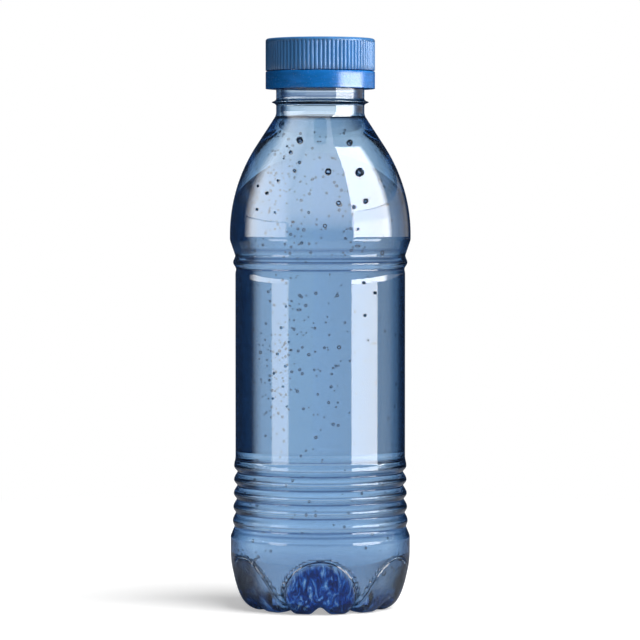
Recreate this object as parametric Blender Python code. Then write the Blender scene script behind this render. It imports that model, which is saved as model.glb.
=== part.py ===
"""Half-litre drinking water bottle with a wide screw closure, filled to the root of its neck.

The blown body is one thin skin: a screw finish at the top, a domed shoulder, a waist ring,
a straight grip panel, five ribs and a base of six feet with two toes each. The closure is a
knurled cap with a sealing disc in it, and a tamper band that stays on the neck.
Units are metres, +Z is up, and the bottle stands on Z = 0 with its axis on the Z axis.
"""
import math

import bmesh
import bpy
from mathutils import Vector

MM = 0.001

# Base: six feet between six straps, blended over the height of the heel
FOOT_COUNT = 6
BASE_RADIUS = 33.2 * MM
HEEL_HEIGHT = 22.5 * MM
HEEL_WIDTH = 10.0 * MM
HEEL_FULLNESS = 2.2
PAD_WIDTH = 2.2 * MM
STRAP_WIDTH = 13.2 * MM
STRAP_FULLNESS = 1.7
PUNT_HEIGHT = 4.8 * MM
ARCH_HEIGHT = 21.0 * MM
FOOT_HALF_ANGLE = math.radians(177.0) / FOOT_COUNT
TOE_STEEPNESS = 1.9
ARCH_STEEPNESS = 1.5
NOTCH_HALF_ANGLE = math.radians(60.0) / FOOT_COUNT
NOTCH_DEPTH = 0.5
NOTCH_TOP = 9.5 * MM
FRONT_FOOT_ANGLE = math.radians(270.0)

# Ring above the feet, and the step from it to the ribs
BASE_BAND_TOP = 26.7 * MM
BASE_STEP = 4.1 * MM

# Ribs, counted from the lowest: crest and groove swell towards the base
RIB_COUNT = 5
RIB_PITCH = 5.07 * MM
RIB_CREST = 31.92 * MM
RIB_GROOVE = 30.6 * MM
RIB_CREST_SWELL = 0.03 * MM
RIB_GROOVE_SWELL = 0.075 * MM

# Straight grip panel and the waist ring over it
BODY_RADIUS = 31.4 * MM
BODY_LENGTH = 69.3 * MM
WAIST_PITCH = 5.1 * MM
WAIST_CREST = 32.23 * MM
WAIST_LOWER_GROOVE = 31.17 * MM
WAIST_UPPER_GROOVE = 31.47 * MM

# Shoulder: a round lip over the waist, a long arc and a cone up to the neck
BULGE_RADIUS = 33.43 * MM
BULGE_RISE = 7.6 * MM
BULGE_LIP_RISE = 5.8 * MM
BULGE_LIP_FILLET = 3.2 * MM
SHOULDER_ARC_RADIUS = 60.0 * MM
SHOULDER_ANGLE = math.radians(33.0)
NECK_FILLET = 4.0 * MM

# Neck finish, measured down from the rim
NECK_RADIUS = 16.3 * MM
NECK_HEIGHT = 24.85 * MM
SUPPORT_RING_DROP = 20.1 * MM
SUPPORT_RING_REACH = 1.55 * MM
SUPPORT_RING_HALF_WIDTH = 1.4 * MM
TAMPER_BEAD_DROP = 10.9 * MM
TAMPER_BEAD_REACH = 1.55 * MM
TAMPER_BEAD_HALF_WIDTH = 0.8 * MM

# Screw thread: one start, right hand; the widths of its form go with the pitch
THREAD_PITCH = 4.0 * MM
THREAD_HEIGHT = 1.65 * MM
NECK_THREAD_END_DROP = 1.6 * MM
NECK_THREAD_TURNS = 1.75
NECK_THREAD_ROOT_WIDTH = 0.55 * THREAD_PITCH
NECK_THREAD_CREST_WIDTH = 0.225 * THREAD_PITCH
CAP_THREAD_TURNS = 1.1
CAP_THREAD_ROOT_WIDTH = 0.45 * THREAD_PITCH
CAP_THREAD_CREST_WIDTH = 0.175 * THREAD_PITCH
THREAD_RADIAL_PLAY = 0.4 * MM
THREAD_EDGE_MARGIN = 0.95 * MM
THREAD_FADE_ANGLE = math.radians(30.0)

# Walls
BODY_WALL = 0.45 * MM
NECK_WALL = 1.9 * MM
WALL_BLEND_LENGTH = 10.0 * MM

# Contents
WATER_LEVEL_BELOW_RIM = 26.1 * MM

# Closure
FIT_GAP = 0.3 * MM
SEAL_THICKNESS = 1.0 * MM
CAP_TOP_THICKNESS = 1.7 * MM
CAP_WALL = 1.4 * MM
KNURL_DEPTH = 0.45 * MM
KNURL_COUNT = 80
KNURL_RUNOUT = 0.5 * MM
CAP_CORNER_RADIUS = 0.9 * MM
CAP_HEIGHT = 11.8 * MM
BAND_FOOT_HEIGHT = 1.2 * MM
BAND_LIP_LENGTH = 2.0 * MM
BAND_LIP_THICKNESS = 0.8 * MM

# Mesh fineness; the base has two columns for each one of the body
COLUMNS_PER_FOOT = 6
BODY_SIDES = FOOT_COUNT * COLUMNS_PER_FOOT
BASE_SIDES = 2 * BODY_SIDES
RING_SIDES = 48
HEEL_STEPS = 8
PUNT_STEPS = (0.66, 0.33)
SHOULDER_STEPS = 5
LIP_STEPS = 2
NECK_FILLET_STEPS = 2
STEPS_PER_RIB = 4
WAIST_STEPS = 6
THREAD_SIDES = 36
EMBED = 0.5 * MM

# Levels that follow from the sizes above
LOWEST_RIB_Z = BASE_BAND_TOP + BASE_STEP + RIB_PITCH / 2
TOP_RIB_Z = LOWEST_RIB_Z + (RIB_COUNT - 1) * RIB_PITCH
BODY_BOTTOM_Z = TOP_RIB_Z + RIB_PITCH / 2
BODY_TOP_Z = BODY_BOTTOM_Z + BODY_LENGTH
WAIST_Z = BODY_TOP_Z + WAIST_PITCH / 2
BULGE_Z = WAIST_Z + WAIST_PITCH / 2 + BULGE_RISE
ARC_TOP_Z = BULGE_Z + SHOULDER_ARC_RADIUS * math.sin(SHOULDER_ANGLE)
ARC_TOP_RADIUS = BULGE_RADIUS - SHOULDER_ARC_RADIUS * (1 - math.cos(SHOULDER_ANGLE))
NECK_ROOT_Z = ARC_TOP_Z + (ARC_TOP_RADIUS - NECK_RADIUS) / math.tan(SHOULDER_ANGLE)
RIM_Z = NECK_ROOT_Z + NECK_HEIGHT
WATER_Z = RIM_Z - WATER_LEVEL_BELOW_RIM
SUPPORT_RING_Z = RIM_Z - SUPPORT_RING_DROP
TAMPER_BEAD_Z = RIM_Z - TAMPER_BEAD_DROP
NECK_THREAD_END_Z = RIM_Z - NECK_THREAD_END_DROP
THREAD_CREST_RADIUS = NECK_RADIUS + THREAD_HEIGHT
SEAL_BOTTOM_Z = RIM_Z + FIT_GAP
CAP_INNER_TOP_Z = SEAL_BOTTOM_Z + SEAL_THICKNESS + FIT_GAP
CAP_TOP_Z = CAP_INNER_TOP_Z + CAP_TOP_THICKNESS
CAP_BOTTOM_Z = CAP_TOP_Z - CAP_HEIGHT
CAP_BORE_RADIUS = NECK_RADIUS + max(THREAD_HEIGHT, TAMPER_BEAD_REACH) + THREAD_RADIAL_PLAY
CAP_RADIUS = CAP_BORE_RADIUS + CAP_WALL + KNURL_DEPTH
BAND_TOP_Z = CAP_BOTTOM_Z - FIT_GAP
BAND_LIP_TOP_Z = TAMPER_BEAD_Z - TAMPER_BEAD_HALF_WIDTH - FIT_GAP
BAND_LIP_ROOT_Z = BAND_LIP_TOP_Z - BAND_LIP_LENGTH
BAND_BOTTOM_Z = BAND_LIP_ROOT_Z - BAND_FOOT_HEIGHT


def clear_scene():
    """Remove what the start-up scene holds."""
    for obj in list(bpy.data.objects):
        bpy.data.objects.remove(obj, do_unlink=True)


def plastic(name, colour, roughness, transmission=0.0, ior=1.5):
    """A Principled material; clear plastics also transmit light."""
    material = bpy.data.materials.new(name)
    material.use_nodes = True
    shader = material.node_tree.nodes["Principled BSDF"]
    shader.inputs["Base Color"].default_value = (*colour, 1.0)
    shader.inputs["Roughness"].default_value = roughness
    shader.inputs["Metallic"].default_value = 0.0
    shader.inputs["Transmission Weight"].default_value = transmission
    shader.inputs["IOR"].default_value = ior
    material.diffuse_color = (*colour, 1.0)
    return material


def finish_object(name, bm, material=None, crease=40.0):
    """Turn a bmesh into an object with outward faces and smooth round sides."""
    bmesh.ops.remove_doubles(bm, verts=bm.verts, dist=1e-7)
    bmesh.ops.recalc_face_normals(bm, faces=bm.faces)
    mesh = bpy.data.meshes.new(name)
    bm.to_mesh(mesh)
    bm.free()
    mesh.shade_smooth()
    mesh.set_sharp_from_angle(angle=math.radians(crease))
    if material is not None:
        mesh.materials.append(material)
    obj = bpy.data.objects.new(name, mesh)
    bpy.context.scene.collection.objects.link(obj)
    return obj


def as_tool(obj):
    """Mark an object as a tool body that shapes another one."""
    obj.hide_render = True
    obj.display_type = "WIRE"
    return obj


def boolean(target, tool, operation):
    """Add a Boolean modifier that joins or cuts with the tool body."""
    modifier = target.modifiers.new(f"{operation.lower()} {tool.name}", "BOOLEAN")
    modifier.operation = operation
    modifier.solver = "EXACT"
    modifier.object = as_tool(tool)


def smooth_step(x):
    """0 below 0, 1 above 1, and an S curve between."""
    x = min(max(x, 0.0), 1.0)
    return x * x * (3 - 2 * x)


def ring(bm, radius, z, sides):
    """A level ring of vertices; radius is a number or a function of the angle."""
    verts = []
    for i in range(sides):
        angle = 2 * math.pi * i / sides
        r = radius(angle) if callable(radius) else radius
        verts.append(bm.verts.new((r * math.cos(angle), r * math.sin(angle), z)))
    return verts


def bridge(bm, upper, lower):
    """Join two closed rings; the lower one may have twice as many vertices."""
    n = len(upper)
    for i in range(n):
        j = (i + 1) % n
        if len(lower) == n:
            bm.faces.new((upper[i], upper[j], lower[j], lower[i]))
            continue
        first, middle, last = lower[2 * i], lower[2 * i + 1], lower[(2 * i + 2) % len(lower)]
        bm.faces.new((upper[i], middle, first))
        bm.faces.new((upper[i], upper[j], middle))
        bm.faces.new((upper[j], last, middle))


def turned(bm, profile, sides, closed=True):
    """Turn a profile of (radius, z) points about Z; a closed profile makes a ring body."""
    rings = [ring(bm, r, z, sides) for r, z in profile]
    for upper, lower in zip(rings, rings[1:]):
        bridge(bm, upper, lower)
    if closed:
        bridge(bm, rings[-1], rings[0])
    return rings


def fan(bm, loop, z):
    """Close a ring with triangles to a point on the axis."""
    tip = bm.verts.new((0.0, 0.0, z))
    for i, vert in enumerate(loop):
        bm.faces.new((tip, vert, loop[(i + 1) % len(loop)]))


def arc(centre, radius, start, end, steps):
    """Points on an arc about a centre in the (radius, z) plane."""
    angles = [start + (end - start) * i / steps for i in range(steps + 1)]
    return [(centre[0] + radius * math.cos(a), centre[1] + radius * math.sin(a)) for a in angles]


def fillet(before, corner, after, radius, steps):
    """Points that round the corner of a profile with an arc tangent to both sides."""
    corner = Vector(corner)
    to_before = (Vector(before) - corner).normalized()
    to_after = (Vector(after) - corner).normalized()
    half = to_before.angle(to_after) / 2
    start = corner + to_before * radius / math.tan(half)
    end = corner + to_after * radius / math.tan(half)
    centre = corner + (to_before + to_after).normalized() * radius / math.sin(half)
    points = []
    for i in range(steps + 1):
        t = i / steps
        direction = (start - centre).lerp(end - centre, t).normalized()
        points.append(tuple(centre + direction * radius))
    return points


def wave(z_crest, pitch, crest, groove_above, groove_below, steps):
    """Rows of one rib from above its crest down to the groove under it."""
    rows = []
    for i in range(steps + 1):
        phase = i / steps - 0.5
        groove = groove_below if phase > 0 else groove_above
        swell = (1 + math.cos(2 * math.pi * phase)) / 2
        rows.append((groove + (crest - groove) * swell, z_crest - phase * pitch))
    return rows


def rib_rows():
    """All ribs from the top one to the groove over the base ring."""
    rows = []
    groove_above = BODY_RADIUS
    for i in range(RIB_COUNT):
        crest = RIB_CREST + RIB_CREST_SWELL * i * i
        groove_below = RIB_GROOVE + RIB_GROOVE_SWELL * i * i
        z_crest = TOP_RIB_Z - i * RIB_PITCH
        rows += wave(z_crest, RIB_PITCH, crest, groove_above, groove_below, STEPS_PER_RIB)[1:]
        groove_above = groove_below
    return rows


def shoulder_rows():
    """Neck root, cone and long arc down to the widest level of the shoulder."""
    rim = (NECK_RADIUS, RIM_Z)
    root = (NECK_RADIUS, NECK_ROOT_Z)
    cone_end = (ARC_TOP_RADIUS, ARC_TOP_Z)
    rows = [rim] + fillet(rim, root, cone_end, NECK_FILLET, NECK_FILLET_STEPS)
    centre = (BULGE_RADIUS - SHOULDER_ARC_RADIUS, BULGE_Z)
    return rows + arc(centre, SHOULDER_ARC_RADIUS, SHOULDER_ANGLE, 0.0, SHOULDER_STEPS)


def waist_rows():
    """Lip under the shoulder, waist ring and the top of the grip panel."""
    groove_z = WAIST_Z + WAIST_PITCH / 2
    lip = (BULGE_RADIUS, groove_z + BULGE_LIP_RISE)
    rows = fillet((BULGE_RADIUS, BULGE_Z), lip, (WAIST_UPPER_GROOVE, groove_z), BULGE_LIP_FILLET, LIP_STEPS)
    rows += wave(WAIST_Z, WAIST_PITCH, WAIST_CREST, WAIST_UPPER_GROOVE, WAIST_LOWER_GROOVE, WAIST_STEPS)
    return rows + [(BODY_RADIUS, BODY_TOP_Z - WAIST_PITCH / 3), (BODY_RADIUS, BODY_BOTTOM_Z)]


def base_ring_rows():
    """Step out from the lowest groove to the ring over the feet."""
    step = (BASE_RADIUS, BASE_BAND_TOP)
    above = (RIB_GROOVE + RIB_GROOVE_SWELL * (RIB_COUNT - 1) ** 2, BASE_BAND_TOP + BASE_STEP)
    return fillet(above, step, (BASE_RADIUS, HEEL_HEIGHT), BASE_STEP / 2, LIP_STEPS)


def base_rows(sides):
    """Rows of points from the heel's upper edge in to the punt, with the feet in them."""
    pad_radius = BASE_RADIUS - HEEL_WIDTH
    strap_radius = BASE_RADIUS - STRAP_WIDTH
    foot_rows, strap_rows = [], []
    for i in range(HEEL_STEPS + 1):
        depth = math.sin(math.pi / 2 * i / HEEL_STEPS)
        foot_reach = HEEL_WIDTH * (1 - depth ** HEEL_FULLNESS) ** (1 / HEEL_FULLNESS)
        foot_rows.append((pad_radius + foot_reach, HEEL_HEIGHT * (1 - depth)))
        strap_reach = STRAP_WIDTH * (1 - depth ** STRAP_FULLNESS) ** (1 / STRAP_FULLNESS)
        strap_rows.append((strap_radius + strap_reach, HEEL_HEIGHT - (HEEL_HEIGHT - PUNT_HEIGHT) * depth))
    inner_pad = pad_radius - PAD_WIDTH
    foot_rows.append((inner_pad, 0.0))
    strap_rows.append((strap_radius - PAD_WIDTH, PUNT_HEIGHT))
    for share in PUNT_STEPS:
        rise = PUNT_HEIGHT * (1 + math.cos(math.pi * share)) / 2
        foot_rows.append((inner_pad * share, rise))
        strap_rows.append(((strap_radius - PAD_WIDTH) * share, PUNT_HEIGHT))
    rows = []
    for row, (foot, strap) in enumerate(zip(foot_rows, strap_rows)):
        under = row >= HEEL_STEPS
        points = []
        for i in range(sides):
            angle = 2 * math.pi * i / sides
            share = foot_share(angle, foot[1], under)
            r = strap[0] + (foot[0] - strap[0]) * share
            z = strap[1] + (foot[1] - strap[1]) * share
            points.append((r * math.cos(angle), r * math.sin(angle), z))
        rows.append(points)
    return rows


def foot_share(angle, z, under):
    """1 on a foot and 0 on a strap; the foot is a steep-sided arch, split below by its notch."""
    spacing = 2 * math.pi / FOOT_COUNT
    off = abs((angle - FRONT_FOOT_ANGLE + spacing / 2) % spacing - spacing / 2)
    rise = 0.0 if under else min(z / ARCH_HEIGHT, 1.0)
    inside = max(0.0, 1 - (off / FOOT_HALF_ANGLE) ** 2 - rise * rise)
    low = 1.0 if under else smooth_step(1 - z / NOTCH_TOP)
    steepness = ARCH_STEEPNESS + (TOE_STEEPNESS - ARCH_STEEPNESS) * low
    share = 1 - (1 - min(1.0, steepness * inside)) ** 2
    depth = NOTCH_DEPTH * low
    return share * (1 - depth * smooth_step(1 - off / NOTCH_HALF_ANGLE))


def skin(body_sides, base_sides, rows):
    """The outer skin from the rim down and in to the middle of the base, open at the rim."""
    bm = bmesh.new()
    rings = turned(bm, rows, body_sides, closed=False)
    last = rings[-1]
    for points in base_rows(base_sides):
        loop = [bm.verts.new(point) for point in points]
        bridge(bm, last, loop)
        last = loop
    fan(bm, last, PUNT_HEIGHT)
    bmesh.ops.recalc_face_normals(bm, faces=bm.faces)
    if sum(face.normal.z for face in bm.faces if face.calc_center_median().z < PUNT_HEIGHT) > 0:
        bmesh.ops.reverse_faces(bm, faces=bm.faces)
    return bm


def wall_at(z):
    """Wall thickness: full in the neck, thin in the blown body."""
    return BODY_WALL + (NECK_WALL - BODY_WALL) * smooth_step((z - NECK_ROOT_Z) / WALL_BLEND_LENGTH + 1)


def ridge_base_half(root_width, crest_width):
    """Half the width of a ridge where it ends inside its wall."""
    return crest_width / 2 + (root_width - crest_width) / 2 * (1 + EMBED / THREAD_HEIGHT)


def helix_ridge(name, root_radius, crest_radius, widths, end_z, first_turn, turns):
    """A ridge wound right-handed about Z that fades into its wall at both ends.

    Its middle passes end_z where the turn counts 0, and rises one pitch with each turn.
    """
    root_width, crest_width = widths
    buried_radius = root_radius - math.copysign(EMBED, crest_radius - root_radius)
    base_half = ridge_base_half(root_width, crest_width)
    steps = round(turns * THREAD_SIDES)
    fade = THREAD_FADE_ANGLE / (2 * math.pi) * THREAD_SIDES
    bm = bmesh.new()
    previous = None
    for i in range(steps + 1):
        turn = first_turn + turns * i / steps
        angle = 2 * math.pi * turn
        z = end_z + THREAD_PITCH * turn
        grown = smooth_step(min(i, steps - i) / fade)
        crest = root_radius + (crest_radius - root_radius) * grown
        section = ((buried_radius, base_half), (crest, crest_width / 2),
                   (crest, -crest_width / 2), (buried_radius, -base_half))
        loop = [bm.verts.new((r * math.cos(angle), r * math.sin(angle), z + dz)) for r, dz in section]
        if previous:
            bridge(bm, previous, loop)
        else:
            bm.faces.new(loop)
        previous = loop
    bm.faces.new(list(reversed(previous)))
    return finish_object(name, bm)


def collar(name, z, reach, half_width, flat_below):
    """A ring that stands out of the neck: sharp all round, or flat on its underside."""
    root = NECK_RADIUS - EMBED
    tip = NECK_RADIUS + reach
    waist = NECK_RADIUS + reach / 4
    waist_half = half_width / 3
    tip_half = half_width / 8
    flare = (half_width - waist_half) * (1 + EMBED / (waist - NECK_RADIUS))
    upper = [(root, z + waist_half + flare), (waist, z + waist_half), (tip, z + tip_half)]
    if flat_below:
        lower = [(tip, z - half_width), (root, z - half_width)]
    else:
        lower = [(tip, z - tip_half), (waist, z - waist_half), (root, z - waist_half - flare)]
    bm = bmesh.new()
    turned(bm, upper + lower, BODY_SIDES)
    return finish_object(name, bm)


def build_body(material):
    """The blown bottle: a skin with its wall inside, and the finish's thread and rings."""
    rows = shoulder_rows() + waist_rows() + rib_rows() + base_ring_rows()
    body = finish_object("bottle_body", skin(BODY_SIDES, BASE_SIDES, rows), material)
    group = body.vertex_groups.new(name="wall")
    for vert in body.data.vertices:
        group.add([vert.index], wall_at(vert.co.z) / NECK_WALL, "REPLACE")
    shell = body.modifiers.new("wall", "SOLIDIFY")
    shell.thickness = NECK_WALL
    shell.offset = -1.0
    shell.vertex_group = group.name
    boolean(body, collar("support_ring", SUPPORT_RING_Z, SUPPORT_RING_REACH,
                         SUPPORT_RING_HALF_WIDTH, False), "UNION")
    boolean(body, collar("tamper_bead", TAMPER_BEAD_Z, TAMPER_BEAD_REACH,
                         TAMPER_BEAD_HALF_WIDTH, True), "UNION")
    thread = helix_ridge("neck_thread", NECK_RADIUS, THREAD_CREST_RADIUS,
                         (NECK_THREAD_ROOT_WIDTH, NECK_THREAD_CREST_WIDTH), NECK_THREAD_END_Z,
                         -NECK_THREAD_TURNS, NECK_THREAD_TURNS)
    boolean(body, thread, "UNION")
    return body


def build_water(material):
    """The contents: the inner side of the skin less a gap, cut level at the fill height."""
    groove = min(RIB_GROOVE, WAIST_LOWER_GROOVE, WAIST_UPPER_GROOVE, BODY_RADIUS)
    rows = shoulder_rows()
    rows += [(min(BULGE_RADIUS, rows[-1][0]), BULGE_Z - BULGE_RISE + BULGE_LIP_RISE)]
    rows += [(groove, BULGE_Z - BULGE_RISE), (groove, BASE_BAND_TOP + BASE_STEP), (BASE_RADIUS, BASE_BAND_TOP)]
    bm = skin(BODY_SIDES, BASE_SIDES, rows)
    bm.normal_update()
    for vert in bm.verts:
        vert.co -= vert.normal * (wall_at(vert.co.z) + FIT_GAP)
    cut = bmesh.ops.bisect_plane(bm, geom=bm.verts[:] + bm.edges[:] + bm.faces[:],
                                 plane_co=(0, 0, WATER_Z), plane_no=(0, 0, 1), clear_outer=True)
    surface = [item for item in cut["geom_cut"] if isinstance(item, bmesh.types.BMEdge)]
    bmesh.ops.contextual_create(bm, geom=surface)
    return finish_object("water", bm, material)


def build_seal(material):
    """The sealing disc over the mouth, free to turn in the cap."""
    radius = THREAD_CREST_RADIUS
    bm = bmesh.new()
    rings = turned(bm, [(radius, SEAL_BOTTOM_Z + SEAL_THICKNESS), (radius, SEAL_BOTTOM_Z)], RING_SIDES, closed=False)
    bm.faces.new(rings[0])
    bm.faces.new(rings[1])
    return finish_object("seal_liner", bm, material)


def knurl(angle):
    """Radius of the knurled side: crest and valley by turns."""
    column = round(angle / (2 * math.pi) * 2 * KNURL_COUNT)
    return CAP_RADIUS - KNURL_DEPTH * (column % 2)


def build_cap(material):
    """The knurled cap: outer form, bore, and the thread inside."""
    sides = 2 * KNURL_COUNT
    bm = bmesh.new()
    corner = (CAP_RADIUS - CAP_CORNER_RADIUS, CAP_TOP_Z - CAP_CORNER_RADIUS)
    rows = arc(corner, CAP_CORNER_RADIUS, math.pi / 2, 0.0, 2)
    rings = turned(bm, rows, sides, closed=False)
    fan(bm, rings[0], CAP_TOP_Z)
    knurl_top = ring(bm, knurl, corner[1] - KNURL_RUNOUT, sides)
    knurl_end = ring(bm, knurl, CAP_BOTTOM_Z, sides)
    bridge(bm, rings[-1], knurl_top)
    bridge(bm, knurl_top, knurl_end)
    bm.faces.new(knurl_end)
    cap = finish_object("cap_shell", bm, material, crease=30.0)

    bore = bmesh.new()
    rows = [(CAP_BORE_RADIUS, CAP_INNER_TOP_Z), (CAP_BORE_RADIUS, CAP_BOTTOM_Z - EMBED)]
    rings = turned(bore, rows, RING_SIDES, closed=False)
    bore.faces.new(rings[0])
    bore.faces.new(rings[1])
    boolean(cap, finish_object("cap_bore", bore), "DIFFERENCE")

    mid_widths = (NECK_THREAD_ROOT_WIDTH + NECK_THREAD_CREST_WIDTH
                  + CAP_THREAD_ROOT_WIDTH + CAP_THREAD_CREST_WIDTH) / 4
    end_z = NECK_THREAD_END_Z - mid_widths - FIT_GAP
    base_half = ridge_base_half(CAP_THREAD_ROOT_WIDTH, CAP_THREAD_CREST_WIDTH)
    first_turn = (CAP_BOTTOM_Z + THREAD_EDGE_MARGIN + base_half - end_z) / THREAD_PITCH
    thread = helix_ridge("cap_thread", CAP_BORE_RADIUS, CAP_BORE_RADIUS - THREAD_HEIGHT,
                         (CAP_THREAD_ROOT_WIDTH, CAP_THREAD_CREST_WIDTH), end_z, first_turn,
                         CAP_THREAD_TURNS)
    boolean(cap, thread, "UNION")
    return cap


def build_band(material):
    """The tamper band: a ring with a lip turned in under the neck's bead."""
    inner = CAP_BORE_RADIUS
    lip = NECK_RADIUS + 2 * FIT_GAP
    profile = [(CAP_RADIUS, BAND_TOP_Z), (CAP_RADIUS, BAND_BOTTOM_Z), (inner, BAND_BOTTOM_Z),
               (inner, BAND_LIP_ROOT_Z), (lip, BAND_LIP_TOP_Z - BAND_LIP_THICKNESS), (lip, BAND_LIP_TOP_Z),
               (inner, BAND_LIP_ROOT_Z + BAND_LIP_THICKNESS * 2), (inner, BAND_TOP_Z)]
    bm = bmesh.new()
    turned(bm, profile, RING_SIDES)
    return finish_object("tamper_band", bm, material)


def build():
    """Model every piece."""
    clear_scene()
    clear = plastic("clear PET", (0.62, 0.76, 0.92), 0.04, transmission=1.0, ior=1.57)
    liquid = plastic("water", (0.72, 0.85, 0.97), 0.0, transmission=1.0, ior=1.33)
    blue = plastic("blue polypropylene", (0.02, 0.17, 0.55), 0.32)
    white = plastic("white liner foam", (0.88, 0.88, 0.86), 0.6)
    build_body(clear)
    build_water(liquid)
    build_seal(white)
    build_cap(blue)
    build_band(blue)


build()
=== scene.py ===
"""Looks of the half-litre drinking water bottle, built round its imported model.

Everything is in metres on the model's own axes: +Z up along the bottle, -Y towards the front.
The bottle, its contents, the bubbles, the cap, the band and the sealing disc are pieces of
their own, and each rides on the body of the node that it stands for.
"""
import math

import bmesh
import bpy
import numpy as np
from bpy.props import FloatProperty, FloatVectorProperty, IntProperty, PointerProperty
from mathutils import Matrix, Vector


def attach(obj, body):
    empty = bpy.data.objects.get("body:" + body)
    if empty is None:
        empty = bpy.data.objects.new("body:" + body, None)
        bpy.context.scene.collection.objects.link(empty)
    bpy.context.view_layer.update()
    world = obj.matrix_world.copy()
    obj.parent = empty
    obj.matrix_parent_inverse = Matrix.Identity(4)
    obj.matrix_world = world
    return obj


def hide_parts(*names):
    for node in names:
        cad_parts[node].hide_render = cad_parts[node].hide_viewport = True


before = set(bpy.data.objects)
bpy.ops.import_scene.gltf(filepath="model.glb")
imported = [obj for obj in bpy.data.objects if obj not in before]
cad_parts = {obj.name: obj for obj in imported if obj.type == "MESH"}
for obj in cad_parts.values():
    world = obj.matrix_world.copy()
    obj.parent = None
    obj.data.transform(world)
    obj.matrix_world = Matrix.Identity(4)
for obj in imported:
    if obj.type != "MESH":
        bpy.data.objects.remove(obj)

bl_info = {
    "name": "Petal-foot water bottle",
    "version": (1, 0, 0),
    "blender": (4, 5, 0),
    "location": "View3D > Sidebar > Bottle",
    "description": "Builds a clear drinking water bottle with a screw cap, its water and bubbles",
    "category": "Object",
}

MM = 0.001
TAU = 2.0 * math.pi
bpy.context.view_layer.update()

# Base: six feet of two toes each between six straps
FOOT_COUNT = 6
BASE_RADIUS = 33.2 * MM
HEEL_HEIGHT = 22.5 * MM
HEEL_WIDTH = 10.0 * MM
HEEL_FULLNESS = 2.2
PAD_WIDTH = 2.2 * MM
STRAP_WIDTH = 13.2 * MM
STRAP_FULLNESS = 2.6
PUNT_HEIGHT = 4.8 * MM
ARCH_HEIGHT = 21.0 * MM
FOOT_HALF_ANGLE = math.radians(29.5)
TOE_STEEPNESS = 1.9
ARCH_STEEPNESS = 1.5
NOTCH_HALF_ANGLE = math.radians(10.0)
NOTCH_DEPTH = 0.5
NOTCH_TOP = 9.5 * MM
FRONT_FOOT_ANGLE = math.radians(270.0)
BASE_BAND_TOP = 26.7 * MM
BASE_STEP = 4.1 * MM

# Ribs, grip panel and waist ring
RIB_COUNT = 5
RIB_PITCH = 5.07 * MM
RIB_CREST = 31.92 * MM
RIB_GROOVE = 30.6 * MM
RIB_CREST_SWELL = 0.03 * MM
RIB_GROOVE_SWELL = 0.075 * MM
RIB_DROP = 0.55 * MM
RIB_LEAN = 0.35 * MM
BODY_RADIUS = 31.4 * MM
BODY_LENGTH = 69.3 * MM
WAIST_PITCH = 5.1 * MM
WAIST_CREST = 32.23 * MM
WAIST_LOWER_GROOVE = 31.17 * MM
WAIST_UPPER_GROOVE = 31.47 * MM

# Shoulder and neck
BULGE_RADIUS = 33.43 * MM
BULGE_RISE = 7.6 * MM
BULGE_LIP_RISE = 5.8 * MM
BULGE_LIP_FILLET = 3.2 * MM
SHOULDER_ARC_RADIUS = 60.0 * MM
SHOULDER_ANGLE = math.radians(33.0)
NECK_FILLET = 4.0 * MM
NECK_RADIUS = 16.3 * MM
NECK_HEIGHT = 24.85 * MM
RIM_ROUNDING = 0.4 * MM
SUPPORT_RING_DROP = 20.1 * MM
SUPPORT_RING_HALF_WIDTH = 1.4 * MM
TAMPER_BEAD_DROP = 10.9 * MM
TAMPER_BEAD_HALF_WIDTH = 0.8 * MM
COLLAR_REACH = 1.55 * MM
COLLAR_TIP_HALF_WIDTH = 0.16 * MM

# Screw thread
THREAD_PITCH = 4.0 * MM
THREAD_HEIGHT = 1.65 * MM
THREAD_END_DROP = 1.6 * MM
NECK_THREAD_TURNS = 1.75
NECK_THREAD_ROOT_WIDTH = 2.2 * MM
NECK_THREAD_CREST_WIDTH = 0.9 * MM
CAP_THREAD_TURNS = 1.1
CAP_THREAD_ROOT_WIDTH = 1.8 * MM
CAP_THREAD_CREST_WIDTH = 0.7 * MM
THREAD_PLAY = 0.4 * MM
THREAD_EDGE_MARGIN = 0.95 * MM
THREAD_FADE_ANGLE = math.radians(30.0)
THREAD_BURIED = 0.5 * MM

# Walls, contents and closure
BODY_WALL = 0.45 * MM
NECK_WALL = 1.9 * MM
WALL_BLEND_LENGTH = 10.0 * MM
WATER_LEVEL_BELOW_RIM = 26.1 * MM
FIT_GAP = 0.3 * MM
SEAL_THICKNESS = 1.0 * MM
CAP_TOP_THICKNESS = 1.7 * MM
CAP_WALL = 1.4 * MM
KNURL_DEPTH = 0.45 * MM
KNURL_RUNOUT = 0.5 * MM
CAP_CORNER_RADIUS = 0.9 * MM
CAP_HEIGHT = 11.8 * MM
BAND_FOOT_HEIGHT = 1.2 * MM
BAND_LIP_LENGTH = 2.0 * MM
BAND_LIP_THICKNESS = 0.8 * MM

# Levels that follow from the sizes above
BODY_BOTTOM_Z = BASE_BAND_TOP + BASE_STEP + RIB_COUNT * RIB_PITCH
BODY_TOP_Z = BODY_BOTTOM_Z + BODY_LENGTH
WAIST_Z = BODY_TOP_Z + WAIST_PITCH / 2
BULGE_Z = WAIST_Z + WAIST_PITCH / 2 + BULGE_RISE
ARC_TOP_Z = BULGE_Z + SHOULDER_ARC_RADIUS * math.sin(SHOULDER_ANGLE)
ARC_TOP_RADIUS = BULGE_RADIUS - SHOULDER_ARC_RADIUS * (1 - math.cos(SHOULDER_ANGLE))
NECK_ROOT_Z = ARC_TOP_Z + (ARC_TOP_RADIUS - NECK_RADIUS) / math.tan(SHOULDER_ANGLE)
RIM_Z = NECK_ROOT_Z + NECK_HEIGHT
WATER_Z = RIM_Z - WATER_LEVEL_BELOW_RIM
SUPPORT_RING_Z = RIM_Z - SUPPORT_RING_DROP
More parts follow.
